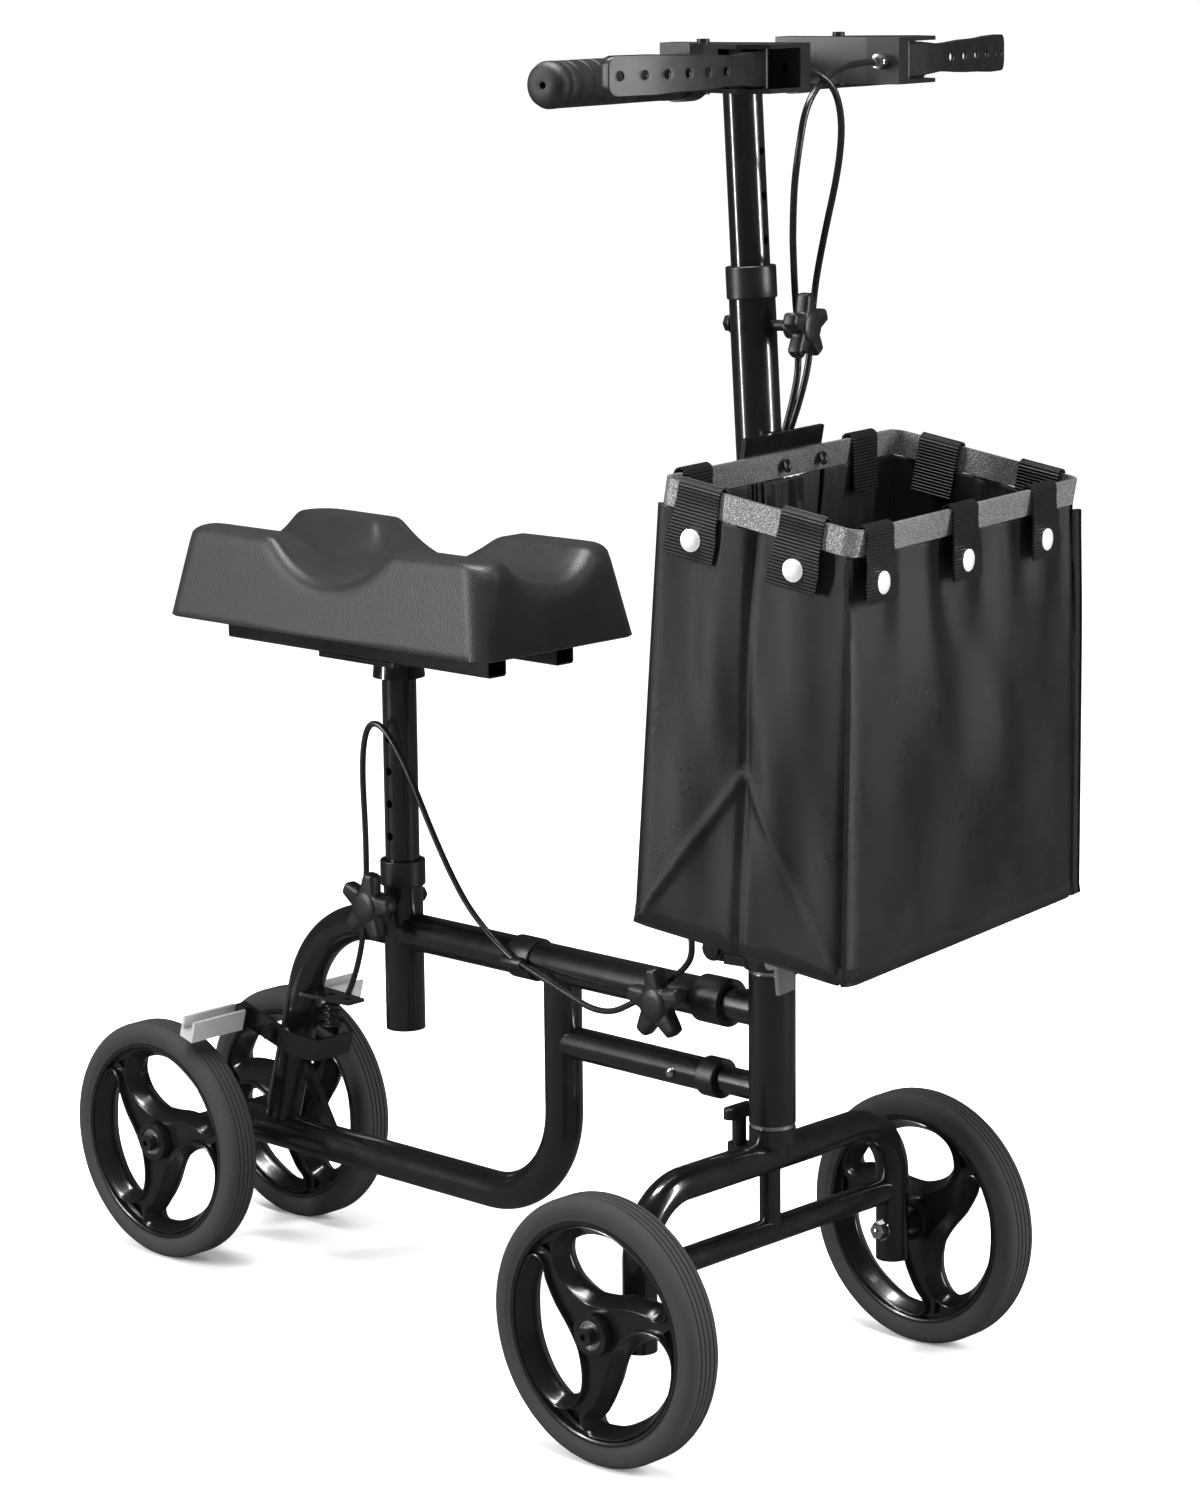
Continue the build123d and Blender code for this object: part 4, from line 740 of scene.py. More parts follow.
# ----------------------------------------------------------------------------------- star knobs
@dataclass
class StarKnob:
    """Five-lobed clamping knob: rounded lobed head, hub behind it, round cap and its screw."""

    node: str
    body: str
    place: Place
    radius: float
    thick: float
    bolt: float
    lobes: int = 5
    turn: float = 90.0
    lobe: tuple = ((-13, 0.93), (-9, 1.0), (0, 1.01), (9, 1.0), (13, 0.93), (22, 0.7), (36, 0.54), (50, 0.7))

    def outline(self) -> np.ndarray:
        """Lobed outline: eight radii to each lobe, joined smoothly."""
        off, share = np.array(self.lobe).T
        a = np.radians(self.turn + off[None] + 360.0 / self.lobes * np.arange(self.lobes)[:, None])
        points = np.stack([np.cos(a), np.sin(a)], -1) * (self.radius * share)[None, :, None]
        return loop_through(points.reshape(-1, 2), 5)

    def build(self) -> None:
        """Makes the knob in place of its CAD node."""
        head = plate([self.outline()], 0.0, self.thick, bevel=3.0)
        hub = revolved([(9.0, -8.0), (9.6, -3.0), (12.5, 0.6), (12.5, 2.0), (CENTRE, 2.0)], 40)
        rim = self.radius * 0.46
        cap = revolved([(r, self.thick + z) for r, z in (
            (rim, -1), (rim, 0.6), (rim - 0.8, 1.4), (rim * 0.5, 1.9), (CENTRE, 2.0))], 48)
        screw = revolved([(4.0, -self.bolt), (4.0, 0.0)], 24)
        shell = (head + hub + cap).painted(0) + screw.painted(1)
        made = shell.placed(self.place).build(self.node + "_detail",
                                              [SATIN_PLASTIC.material(), BLACK_BOLT.material()])
        join_piece(made, self.body, "black_plastic", self.node)


# ------------------------------------------------------------------------------------- knee pad
@dataclass
class Seat:
    """The padded knee rest."""

    x: float = -136.25
    foot: float = 548.0
    crown: float = 620.0
    base: tuple = (182.0, 87.5)
    top: tuple = (171.0, 74.5)
    corner: tuple = (16.0, 22.0)
    edge: float = 13.0
    cross_valley: tuple = (590.5, 92.0)     # its lowest height and its radius
    long_valley: tuple = (599.0, 52.0)
    blend: float = 2.6                      # how softly the valleys meet the crown
    corner_share: float = 0.16              # of the outline's steps, those spent on a corner

    def height(self, x: np.ndarray, y: np.ndarray) -> np.ndarray:
        """Top surface: a soft minimum of the flat crown and two troughs of circular section.

        The troughs run across the pad's middle and along it; the soft minimum is minus k times the
        logarithm of the sum of exp(-h / k).
        """
        levels = [np.full_like(x, self.crown + 0.2)]
        for away, (low, radius) in ((x, self.cross_valley), (y, self.long_valley)):
            reach = np.minimum(np.abs(away), radius * 0.985)
            levels.append(low + radius - np.sqrt(radius**2 - reach**2))
        total = sum(np.exp(-(level - self.foot) / self.blend) for level in levels)
        return self.foot - self.blend * np.log(total) + 0.4

    def outline(self, up: np.ndarray, angle: np.ndarray) -> tuple[np.ndarray, np.ndarray]:
        """Rounded rectangle whose half sizes and corner radius change evenly with height fraction up.

        Args:
            up: height fraction from 0 at the base to 1 at the crown.
            angle: place round the outline, in corner and side steps from 0 to 4.

        Returns:
            x and y.
        """
        a = self.base[0] + (self.top[0] - self.base[0]) * up
        b = self.base[1] + (self.top[1] - self.base[1]) * up
        r = self.corner[0] + (self.corner[1] - self.corner[0]) * up
        quarter = np.floor(angle)
        t = angle - quarter
        across = (quarter % 2) == 0
        share = self.corner_share
        bend = np.clip(t / share, 0.0, 1.0) * math.pi / 2
        run = np.clip((t - share) / (1 - share), 0.0, 1.0)
        half_u, half_v = np.where(across, a, b) - r, np.where(across, b, a) - r
        u = half_u + r * np.cos(bend) - 2 * half_u * run
        v = half_v + r * np.sin(bend)
        c, s = np.cos(quarter * math.pi / 2), np.sin(quarter * math.pi / 2)
        return c * u - s * v, s * u + c * v

    def pad(self) -> Shell:
        """The pad as rings: in across the base, up the sides, over the round edge and in to the middle."""
        angle = np.linspace(0.0, 4.0, 440, endpoint=False)[None]
        side = np.linspace(0.0, 1.0, 12)[:, None]
        inner = np.concatenate([np.linspace(0.0, 0.2, 14)[1:], np.linspace(0.2, 1.0, 46)[1:]])[:, None]
        ex, ey = self.outline(np.full_like(angle, 0.82), angle)
        brow = self.height(ex * 0.93, ey * 0.88) - self.edge
        z = self.foot + 1.2 + (brow - self.foot - 1.2) * side
        up = (z - self.foot) / (self.crown - self.foot)
        sx, sy = self.outline(up, angle)
        wall = np.stack([sx, sy, z], -1)
        last_x, last_y = sx[-1:], sy[-1:]
        shrink = 1.0 - inner
        tx, ty = last_x * shrink, last_y * shrink
        gap = np.hypot(last_x - tx, last_y - ty)
        length = np.hypot(last_x, last_y)
        reach = gap * np.minimum(1.0, np.minimum(self.base[1] / length * 1.9, 1.0))
        ease = np.clip(reach / self.edge, 0.0, 1.0)
        drop = self.edge * (1.0 - np.sqrt(1.0 - (1.0 - ease)**2))
        top_z = self.height(tx, ty)
        edge_z = brow + self.edge
        blend = np.clip(inner / 0.16, 0.0, 1.0)
        top_z = edge_z * (1 - blend) + top_z * blend
        cover = np.stack([tx, ty, top_z - drop], -1)
        bx, by = self.outline(np.zeros_like(angle), angle)
        base = np.stack([np.stack([bx[0] * k, by[0] * k, np.full(bx.shape[1], zz)], -1)
                         for k, zz in ((CENTRE, self.foot), (0.97, self.foot), (0.99, self.foot + 0.2))])
        return sheet_grid(np.concatenate([base, wall, cover]), around=True)

    def build(self) -> None:
        """Makes the pad in place of its CAD node."""
        place = Place((self.x / MM, 0.0, 0.0))
        pad = self.pad().placed(place).build("knee_pad_cover", [PAD_SKIN.material()], 50)
        join_piece(pad, "seat", "pad_skin", "knee_pad")


# ------------------------------------------------------------------------------ cables and brake
@dataclass
class Cables:
    """The brake cables, on the column's place or the row's.

    Inside the clip the cable is two lines that meet: the rear stretch and the seat loop.
    """

    column: Place
    row: Place = ROW
    radius: float = 2.5
    left_upper: tuple = ((57.5, 59, 993), (57, 10, 994), (60, -46, 975), (58, -58, 928), (44, -40, 898),
                         (26.5, -12, 870))
    right_upper: tuple = ((57.5, -59, 993), (58, -38, 992), (67, -16, 975), (58, 4, 932), (30.5, 32, 890))
    left_lower: tuple = ((26.5, -12, 870), (8, 19.7, 831.5), (-1, 40, 800), (-3, 42, 752), (-24, 28, 678))
    right_lower: tuple = ((30.5, 32, 890), (12, 47, 851.4), (3, 53, 817.5), (-1, 51, 752), (-28, 36, 678))
    trunk: tuple = ((-28, 31, 671), (-46, 14, 600), (-52, -6, 470), (-65, -13.6, 379))
    neck: tuple = ((194.35, -24, 372), (203.35, -27, 348), (198.35, -27.5, 329.5), (179.35, -27, 317))
    rear: tuple = ((177.35, -27, 315.5), (149.35, -29, 296), (111.35, -29, 277), (55.35, -23, 290),
                   (6.35, -19.5, 303))
    rear_slack: tuple = (171.0, -27.5, 311.5)
    loop: tuple = ((6.35, -19.5, 303), (-12.65, -19.5, 312), (-53.65, -24, 352), (-120.65, -26, 474),
                   (-154.65, -27, 470), (-150.65, -24.5, 346), (-164.65, -22, 270), (-200.65, -3, 236.5))
    loop_bend: tuple = ((-120.0, -25.0, 306.0), (-120.0, -25.0, 474.0))
    joiner_at: tuple = (-28.0, 31.5, 680.0)

    def build(self) -> None:
        """Makes each body's stretch of cable in place of its CAD node."""
        finish = CABLE_SHEATH.material()
        upper, lower, neck, rear, loop = (
            merged(cable_line(line, self.radius) for line in lines) for lines in (
                (self.left_upper, self.right_upper), (self.left_lower, self.right_lower, self.trunk),
                (self.neck,), (self.rear,), (self.loop,)))
        lower = lower + self.splitter()
        for name, shell, place, body, other, start, end in (
                ("handlebar_brake_cables", upper, self.column, "handlebar", "column", self.right_upper[0],
                 self.right_upper[-1]),
                ("column_brake_cables", lower, self.column, "column", "steering", self.trunk[1],
                 self.trunk[-1]),
                ("neck_brake_cable", neck, self.row, "steering", "front_section", self.neck[0],
                 self.neck[-1]),
                ("rear_brake_cable", rear, self.row, "front_section", "rear_frame", self.rear[0],
                 self.rear_slack),
                ("seat_loop_cable", loop, self.row, "rear_frame", "seat", *self.loop_bend)):
            made = shell.placed(place).build(name + "_sheath", [finish])
            ends = [tuple(place.points(np.array(point))) for point in (start, end)]
            stands_for = [name] if name != "seat_loop_cable" else []
            join_piece(made, body, "cable_rubber", *stands_for, bend=(other, *ends))

    def splitter(self) -> Shell:
        """The moulded joiner where two cables become one: an oval barrel with rounded ends."""
        barrel = revolved([(CENTRE, -13), (5.5, -12.6), (7.6, -10), (8.2, 0), (7.6, 10), (5.5, 12.6),
                           (CENTRE, 13)], 28)
        barrel.verts = barrel.verts * [0.95, 1.25, 1.0] + self.joiner_at
        return barrel


@dataclass
class BrakeBoot:
    """The bellows over the rear brake's wire, between the cable stop and the yoke."""

    x: float = -224.65
    low: float = 205.0
    high: float = 228.0
    folds: int = 4

    def build(self) -> None:
        """Makes the bellows: a radius that waves with height between two ends, turned about its middle."""
        t = np.linspace(0.0, 1.0, 41)
        r = 6.9 + 1.5 * np.cos(TAU * self.folds * t) - 1.4 * t
        z = self.low + t * (self.high - self.low)
        profile = [(CENTRE, self.low), *zip(r, z), (CENTRE, self.high)]
        shell = revolved(profile, 40).placed(Place((self.x / MM, 0.0, 0.0)))
        made = shell.build("brake_boot_bellows", [CABLE_SHEATH.material()])
        ends = [(self.x / MM, 0.0, end / MM) for end in (self.high, self.low)]
        join_piece(made, "rear_frame", "cable_rubber", "brake_boot", bend=("rear_brake", *ends))


# ------------------------------------------------------------------------------------ handlebar
@dataclass
class Handlebar:
    """Grips, brake levers and cable adjusters, on the column's place."""

    column: Place
    bar_x: float = -23.55
    bar_z: float = 986.0
    half: float = 246.0
    grip: float = 158.0
    radius: float = 16.0
    lever_z: float = 993.0
    lever_plan: tuple = ((57.5, 93.0), (61.0, 125.0), (60.5, 170.0), (54.5, 220.0), (42.5, 265.0))
    lever_width: tuple = ((0.0, 12.4), (17.0, 12.3), (43.0, 10.0), (60.0, 10.6), (80.0, 11.8),
                          (110.0, 12.2), (132.0, 13.3))
    tip: float = 8.0
    tip_half: float = 13.4
    hole: float = 3.0

    def grip_shell(self, side: int) -> Shell:
        """One grip: vented domed end, broad ribs, band of fine ribs and an inner collar, turned."""
        profile = [(2.5, 6.0), (2.5, 0.6), (6.0, 0.1), (11.5, 1.2), (14.6, 3.4), (self.radius, 7.0),
                   (self.radius, 12.0), (15.3, 13.0), (15.3, 15.0), (self.radius - 0.2, 16.0)]
        for k in range(5):
            s = 24.0 + 14.5 * k
            profile += [(15.8, s - 3.4), (15.8, s - 1.2), (15.1, s - 0.6), (15.1, s + 0.6), (15.8, s + 1.2)]
        for k in range(17):
            s = 97.0 + 2.6 * k
            profile += [(15.7, s), (15.7, s + 1.3), (15.0, s + 1.5), (15.0, s + 2.4)]
        profile += [(15.6, 143.0), (self.radius, 145.0), (self.radius, self.grip - 1.2),
                    (self.radius - 1.0, self.grip), (11.3, self.grip), (11.3, 6.0)]
        shell = revolved(profile[::-1], 56, closed=True)
        if side > 0:
            shell.verts = shell.verts * [1, 1, -1]
        shell.verts = np.stack([shell.verts[:, 0] + self.bar_x, shell.verts[:, 2] + side * self.half,
                                shell.verts[:, 1] + self.bar_z], -1)
        return shell

    def lever(self, side: int) -> Shell:
        """One lever: a drilled plate with a rim behind it, drawn flat and bent along two arcs in plan.

        Flat x is the distance from the pivot's end along the lever, flat y its height and flat z
        its thickness. The plan line is one smooth curve from the pivot to the tip.
        """
        plan = line_through(self.lever_plan, 16)
        run = distances(plan)
        end, tip, half = run[-1], self.tip, self.tip_half
        s, h = np.array([*self.lever_width, (end - tip, half)]).T
        x = np.linspace(0.0, end - tip, 60)
        a = np.linspace(0.0, math.pi / 2, 8)[1:]
        corner = np.stack([end - tip + tip * np.sin(a), half - tip + tip * np.cos(a)], -1)
        upper = np.concatenate([np.stack([x, np.interp(x, s, h)], -1), corner])
        outline = np.concatenate([upper * [1, -1], upper[::-1]])
        middle = np.array([end / 2, 0.0])
        inner = middle + (outline - middle) * [(end - 6.0) / end, 0.80]
        holes = [circle(16) * self.hole + [59.0 + 21.0 * k, 0.0] for k in range(6)]
        blade = sliced(plate([outline] + holes, -2.4, 0.0, 0.7) + plate([outline, inner], -8.0, -1.2, 0.5),
                       np.arange(5.0, end, 5.0))
        v = blade.verts
        tangent = unit(np.gradient(plan, axis=0))
        at = [np.interp(v[:, 0], run, column) for column in (*plan.T, *tangent.T)]
        blade.verts = np.stack([at[0] + at[3] * v[:, 2], side * (at[1] - at[2] * v[:, 2]),
                                v[:, 1] + self.lever_z], -1)
        return blade

    def adjuster(self, side: int) -> Shell:
        """Cable adjuster: knurled barrel, locking ring and ferrule, turned about the cable."""
        steps = [(2.7, 0.0), (5.2, 0.0), (5.4, 0.6), (5.4, 7.4), (5.2, 8.0), (3.7, 8.2), (3.6, 13.0),
                 (2.7, 13.6)]
        wave = 1.0 + 0.05 * np.sign(np.sin(12 * np.linspace(0.0, TAU, 48, endpoint=False)))[:, None]
        pts = np.array([np.append(circle(48) * r * (wave if r > 5.3 else 1.0), np.full((48, 1), h), 1)
                        for r, h in steps])
        shell = sheet_grid(pts, around=True, along=True)
        v = shell.verts
        shell.verts = np.stack([v[:, 0] + self.lever_plan[0][0], side * (60.0 - v[:, 2]),
                                v[:, 1] + self.lever_z], -1)
        return shell

    def build(self) -> None:
        """Makes the grips in place of their CAD node, and the two adjusters."""
        both = self.grip_shell(1) + self.grip_shell(-1)
        join_piece(both.placed(self.column).build("moulded_grips", [GRIP_RUBBER.material()]), "handlebar",
                   "grip_rubber", "grips")
        for side, name in ((1, "left"), (-1, "right")):
            lever = self.lever(side).placed(self.column).build(name + "_lever_blade",
                                                               [SATIN_PLASTIC.material()])
            join_piece(lever, name + "_lever", "black_plastic", name + "_brake_lever")
        pair = self.adjuster(1) + self.adjuster(-1)
        join_piece(pair.placed(self.column).build("cable_adjusters", [CHROME.material()]), "handlebar",
                   "chrome")


# ------------------------------------------------------------------------------ basket and bag
@dataclass
class Bag:
    """The fabric bag hung in the strip frame, its hems, loops and snaps, on the column's place."""

    column: Place
    tilt: float = 9.87
    rear: float = 10.6
    rear_top: float = 718.0
    length: float = 160.4
    half: float = 159.0
    strip_high: float = 18.7
    floor_at: tuple = (-12.0, 402.0)
    floor_tilt: float = 7.94
    floor_size: tuple = (176.0, 164.0, 41.0)
    top_size: tuple = (159.4, 158.0, 3.4)
    mouth: float = 26.0
    front_loops: tuple = (-133.0, -17.0, 98.0)
    rear_loops: tuple = (-118.0, 107.0)
    right_loops: tuple = (33.5, 117.0)
    left_loops: tuple = (43.0, 128.0)
    bows: tuple = (2.5, 3.0, 2.5, 0.8, 0.8, 0.8, 0.8, 0.8)   # how far each side's middle stands out
    sag: float = 5.0                # how far the top is drawn in between loops
    loop_pitch: float = 58.0
    crease_depth: float = 3.2
    gusset_top: float = 0.43
    cloth_thick: float = 0.0016     # in metres

    def corners(self, size: tuple) -> np.ndarray:
        """Plan of the bag: a rectangle whose rear side steps forward round the stem."""
        length, half, notch = size
        m = self.mouth
        return np.array([(0, -half), (length, -half), (length, half), (0, half), (0, m + 26),
                         (notch, m), (notch, -m), (0, -m - 26)], float)

    def plane(self, local: np.ndarray, x: float, z: float, tilt: float) -> np.ndarray:
        """Points on a plane that falls forward by tilt degrees from (x, z), in column millimetres."""
        a = math.radians(tilt)
        return np.stack([x + local[..., 0] * math.cos(a) + local[..., 2] * math.sin(a), local[..., 1],
                         z - local[..., 0] * math.sin(a) + local[..., 2] * math.cos(a)], -1)

    def plan(self, size: tuple, share: np.ndarray, radius: float) -> np.ndarray:
        """Points round the plan with rounded corners: share runs from 0 to 8, one side to each unit.

        Near a corner the point slides on a parabola between the two sides.
        """
        c = self.corners(size)
        k = np.floor(share).astype(int) % 8
        t = (share - np.floor(share))[..., None]
        a, b = c[k], c[(k + 1) % 8]
        before, after = c[(k - 1) % 8], c[(k + 2) % 8]
        cut = np.minimum(radius / np.linalg.norm(b - a, axis=-1, keepdims=True), 0.45)
        straight = a + (b - a) * t
        near_a = np.clip(1 - t / cut, 0, 1)
        near_b = np.clip(1 - (1 - t) / cut, 0, 1)
        return straight + (unit(before - a) * near_a**2 + unit(after - b) * near_b**2) * radius * 0.25

    def skin(self, share: np.ndarray, up: np.ndarray, out: float = 0.0) -> np.ndarray:
        """The bag's side wall in column millimetres.

        Each point is the plan at the floor and the plan at the top mixed by up, bowed out in the
        middle of a panel, drawn in softly between hanging loops, and rippled with slow folds.

        Args:
            share: place round the plan, 0 to 8.
            up: height fraction from the floor.
            out: how far the point stands off the cloth.

        Returns:
            Points.
        """
        low = self.plan(self.floor_size, share, 14.0)
        high = self.plan(self.top_size, share, 10.0)
        lo3 = self.plane(np.concatenate([low, np.zeros((*low.shape[:-1], 1))], -1), *self.floor_at,
                         self.floor_tilt)
        top = self.plane(np.concatenate([high, np.full((*high.shape[:-1], 1), -self.strip_high - 0.3)], -1),
                         self.rear, self.rear_top, self.tilt)
        k = np.floor(share).astype(int) % 8
        t = share - np.floor(share)
        c = self.corners(self.floor_size)
        edge = unit(c[(k + 1) % 8] - c[k])
        normal = np.stack([edge[..., 1], -edge[..., 0]], -1)
        middle = np.sin(math.pi * t)
        u = np.clip(up, 0, 1)
        is_end = (k == 0) | (k == 2)
        bow = np.asarray(self.bows)[k] * middle * np.sin(math.pi * u**0.8)
        width = np.where(is_end, 160.0, 320.0)
        hang = self.sag * np.exp(-((1 - u) / 0.2)**2) * np.sin(
            math.pi * t * width / self.loop_pitch + 1.1 * k) ** 2
        folds = (2.4 * np.sin(5.0 * t + 7.0 * u + 2.1 * k) + 1.9 * np.sin(15.0 * t - 5.0 * u + k)
                 + 0.9 * np.sin(27.0 * t + 8.0 * u)) * middle * np.sin(math.pi * u) ** 0.7
        crease = np.where(is_end, -self.crease_depth, 0.0) * np.exp(-((t - 0.5) / 0.018)**2) * (u < 1)
        gusset = np.where(is_end, self.gusset(t, u), 0.0)
        push = (bow - hang + folds + crease + gusset + out)[..., None]
        flat = lo3[..., :2] * (1 - u[..., None]) + top[..., :2] * u[..., None] + normal * push
        z = lo3[..., 2] * (1 - up) + top[..., 2] * up
        return np.concatenate([flat, z[..., None]], -1)

    def gusset(self, t: np.ndarray, u: np.ndarray) -> np.ndarray:
        """An end's folded triangle: two creases run from a point on its middle line to the corners."""
        line = self.gusset_top * (1 - np.abs(2 * t - 1))
        ridge = 2.0 * np.exp(-((u - line) / 0.014)**2)
        return ridge + np.where(u < line, -1.6 * np.clip((line - u) / self.gusset_top, 0, 1) ** 0.6, 0.0)

    def shares(self, step: float = 3.4) -> np.ndarray:
        """Places round the plan, closer together at the corners, about step millimetres apart."""
        lengths = np.diff(self.around())
        return np.concatenate([k + np.linspace(0.0, 1.0, max(10, int(length / step)), endpoint=False)
                               for k, length in enumerate(lengths)])

    def around(self) -> np.ndarray:
        """How far round the floor's plan each corner lies, in millimetres, and back to the first."""
        c = self.corners(self.floor_size)
        return distances(np.append(c, c[:1], 0))

    def cloth(self) -> Shell:
        """Wall and floor in one sheet: rings in across the floor, then up the sides to a turned edge."""
        share = self.shares()
        up = np.concatenate([np.linspace(0, 0.06, 5), np.linspace(0.06, 0.86, 68)[1:],
                             np.linspace(0.86, 1, 16)[1:]])
        wall = self.skin(*np.broadcast_arrays(share[None], up[:, None]))
        reach = 92.0
        center = np.array([self.floor_at[0] + reach, 0.0, self.floor_at[1] + 0.5 - reach * math.tan(
            math.radians(self.floor_tilt))])
        shrink = np.linspace(0.004, 1.0, 22)[:-1, None, None]
        floor = center + (wall[:1] - center) * shrink
        floor[..., 2] -= 1.2 * np.sin(math.pi * (1.0 - shrink[..., 0]))
        grid = np.concatenate([floor, wall])
        around = np.interp(np.append(share, 8.0), np.arange(9), self.around())
        return sheet_grid(grid, around=True, along_mm=distances(grid[:, 60]), around_mm=around)

    def tape(self, share: np.ndarray, up: np.ndarray, width: float, thick: float) -> Shell:
        """A flat tape sewn along the wall: a thin rounded section carried along a line on the cloth."""
        path = self.skin(share, up, thick * 0.35)
        middle = np.array([self.floor_at[0] + 85.0, 0.0, 550.0])
        away = (path - middle) * [1.0, 1.0, 0.0]
        tangent = unit(np.gradient(path, axis=0))
        side = unit(np.cross(tangent, unit(away)))
        lift = np.cross(side, tangent)
        s = rounded(width, thick, thick * 0.45, 2)
        pts = path[:, None] + s[None, :, :1] * side[:, None] + s[None, :, 1:] * lift[:, None]
        return sheet_grid(pts, around=True, capped=True, along_mm=distances(path),
                          around_mm=np.linspace(0, 2 * width, len(s) + 1))

    def stitches(self, path: np.ndarray, pitch: float = 5.0, length: float = 3.0,
                 radius: float = 0.5) -> Shell:
        """Thread stitches along a line: one short six-sided spindle every pitch millimetres."""
        run = distances(path)
        start = np.arange(pitch, run[-1] - pitch, pitch)
        a, b = (np.stack([np.interp(at, run, line) for line in path.T], -1) for at in (start, start + length))
        tangent = unit(b - a)
        side = unit(np.cross(tangent, [0.31, 0.22, 0.92]))
        lift = np.cross(side, tangent)
        flat = circle(6)[None] * radius
        ring = side[:, None] * flat[..., :1] + lift[:, None] * flat[..., 1:]
        spindle = np.array([(0.0, 0.35), (0.2, 1.0), (0.8, 1.0), (1.0, 0.35)])[None, :, :, None, None]
        pts = (a[:, None, None] + (b - a)[:, None, None] * spindle[:, :, 0]
               + ring[:, None] * spindle[:, :, 1])
        return merged(sheet_grid(one, around=True, capped=True) for one in pts)

    def loop_places(self) -> list:
        """Each loop's place (its x outwards, z up the strip's own plane) and its outward stand-off."""
        tilt = math.radians(self.tilt)
        fore = np.array([math.cos(tilt), 0.0, -math.sin(tilt)])
        up = np.array([math.sin(tilt), 0.0, math.cos(tilt)])
        ahead, left, upright = np.eye(3)
        origin = np.array([self.rear, 0.0, self.rear_top])
        made = []
        for starts, start, step, out, along, gap in (
                (self.front_loops, origin + fore * self.length, left, ahead, left, 0.4),
                (self.rear_loops, origin, left, -ahead, -left, 3.6),
                (self.right_loops, origin - left * self.half, fore, -left, fore, 0.4),
                (self.left_loops, origin + left * self.half, fore, left, -fore, 0.4)):
            rise = up if abs(out[1]) > 0.5 else upright
            made += [(start + step * place, out, along, rise, gap) for place in starts]
        return made

    def loop_strap(self, spec: tuple) -> tuple[Shell, Shell]:
        """One webbing loop: a flat section up the outside, over the strip and down inside; with a snap.

        The strap flares to a square tab below the strip on the outside.
        """
        at, out, along, up, gap = spec
        thick, width, drop, inner = 1.5, 36.0, 50.0, 40.0
        x0 = gap + 1.1
        x1 = -3.0 - 1.1 - (4.0 - gap)
        line = line_through([(x0 + 2.2, -drop), (x0 + 2.0, -drop + 12), (x0 + 1.4, -26), (x0, -12),
                             (x0, -1.0), ((x0 + x1) / 2 + 1.6, 2.4), ((x0 + x1) / 2 - 1.6, 2.4),
                             (x1, -1.0), (x1, -14),
                             (x1 - 1.0, -inner)], 5)
        flare = np.interp(line[:, 1], [-drop, -36, -24, -8, 3], [1.1, 1.12, 1.0, 0.95, 0.95])
        outer = np.arange(len(line)) < len(line) * 0.6
        half = np.where(outer, flare, 0.93) * width / 2
        tangent = unit(np.gradient(line, axis=0))
        normal = np.stack([-tangent[:, 1], tangent[:, 0]], -1)
        cross = np.concatenate([np.linspace(-1, 1, 9), np.linspace(1, -1, 9)])
        lift = np.concatenate([np.full(9, thick / 2), np.full(9, -thick / 2)])
        pts2 = line[:, None] + normal[:, None] * lift[None, :, None]
        pts = (np.asarray(at) + pts2[..., :1] * out + pts2[..., 1:] * up
               + (half[:, None] * cross[None])[..., None] * along)
        strap = sheet_grid(pts, around=True, capped=True, along_mm=distances(line),
                           around_mm=(np.append(cross, -1) + 1) * width / 2)
        cap = dome(7.4, 2.0) + revolved([(7.9, -0.6), (7.9, 0.3), (6.8, 0.6), (3, 0.6), (CENTRE, 0.6)], 28)
        v = cap.verts
        base = np.asarray(at) + out * (x0 + 2.2 + thick / 2) + up * (-37.0)
        cap.verts = base + v[:, 2:] * out + v[:, :1] * along + v[:, 1:2] * up
        return strap, cap

    def build(self) -> None:
        """Makes the bag, its tapes, stitches, loops and snaps."""
        bag = self.cloth().placed(self.column).build(
            "bag_body", [BAG_FABRIC.material(), BAG_INSIDE_SHADE.material()], 60)
        wall = bag.modifiers.new("thickness", "SOLIDIFY")
        # The inner face takes the second material, the painted shade inside the bag.
        wall.thickness, wall.offset, wall.material_offset = self.cloth_thick, -1.0, 1
        ring = np.linspace(0.0, 8.0, 500)
        hem = merged([self.tape(ring % 8.0, np.full(500, 0.022), 11.0, 2.0)] + [
            self.tape(np.full(80, corner), np.linspace(0.0, 0.985, 80), width, thick)
            for corner, width, thick in ((1.0, 3.4, 1.8), (2.0, 4.0, 9.0))])
        seen = ring[ring < 3.0]
        seams = merged([self.stitches(self.skin(seen, np.full(len(seen), 0.05), 1.1))] + [
            self.stitches(self.skin(np.full(90, at), np.linspace(0.05, 0.97, 90), 0.9))
            for at in (1.0 + 0.04, 1.0 - 0.08, 2.0 - 0.04, 2.0 + 0.08)])
        straps, caps = (merged(shells) for shells in zip(*map(self.loop_strap, self.loop_places())))
        hem_piece, stitch_piece, loops, snaps = (
            shell.placed(self.column).build(name, [finish.material()]) for name, shell, finish in (
                ("bag_binding", hem, BINDING), ("bag_stitches", seams, THREAD),
                ("bag_webbing_loops", straps, WEBBING), ("bag_snap_caps", caps, NICKEL)))
        join_piece(bag, "column", "bag_fabric", "storage_bag")
        join_piece(loops, "column", "webbing", "bag_loops")
        join_piece(hem_piece, "column", "bag_fabric")
        join_piece(stitch_piece, "column", "webbing")
        join_piece(snaps, "column", "chrome")


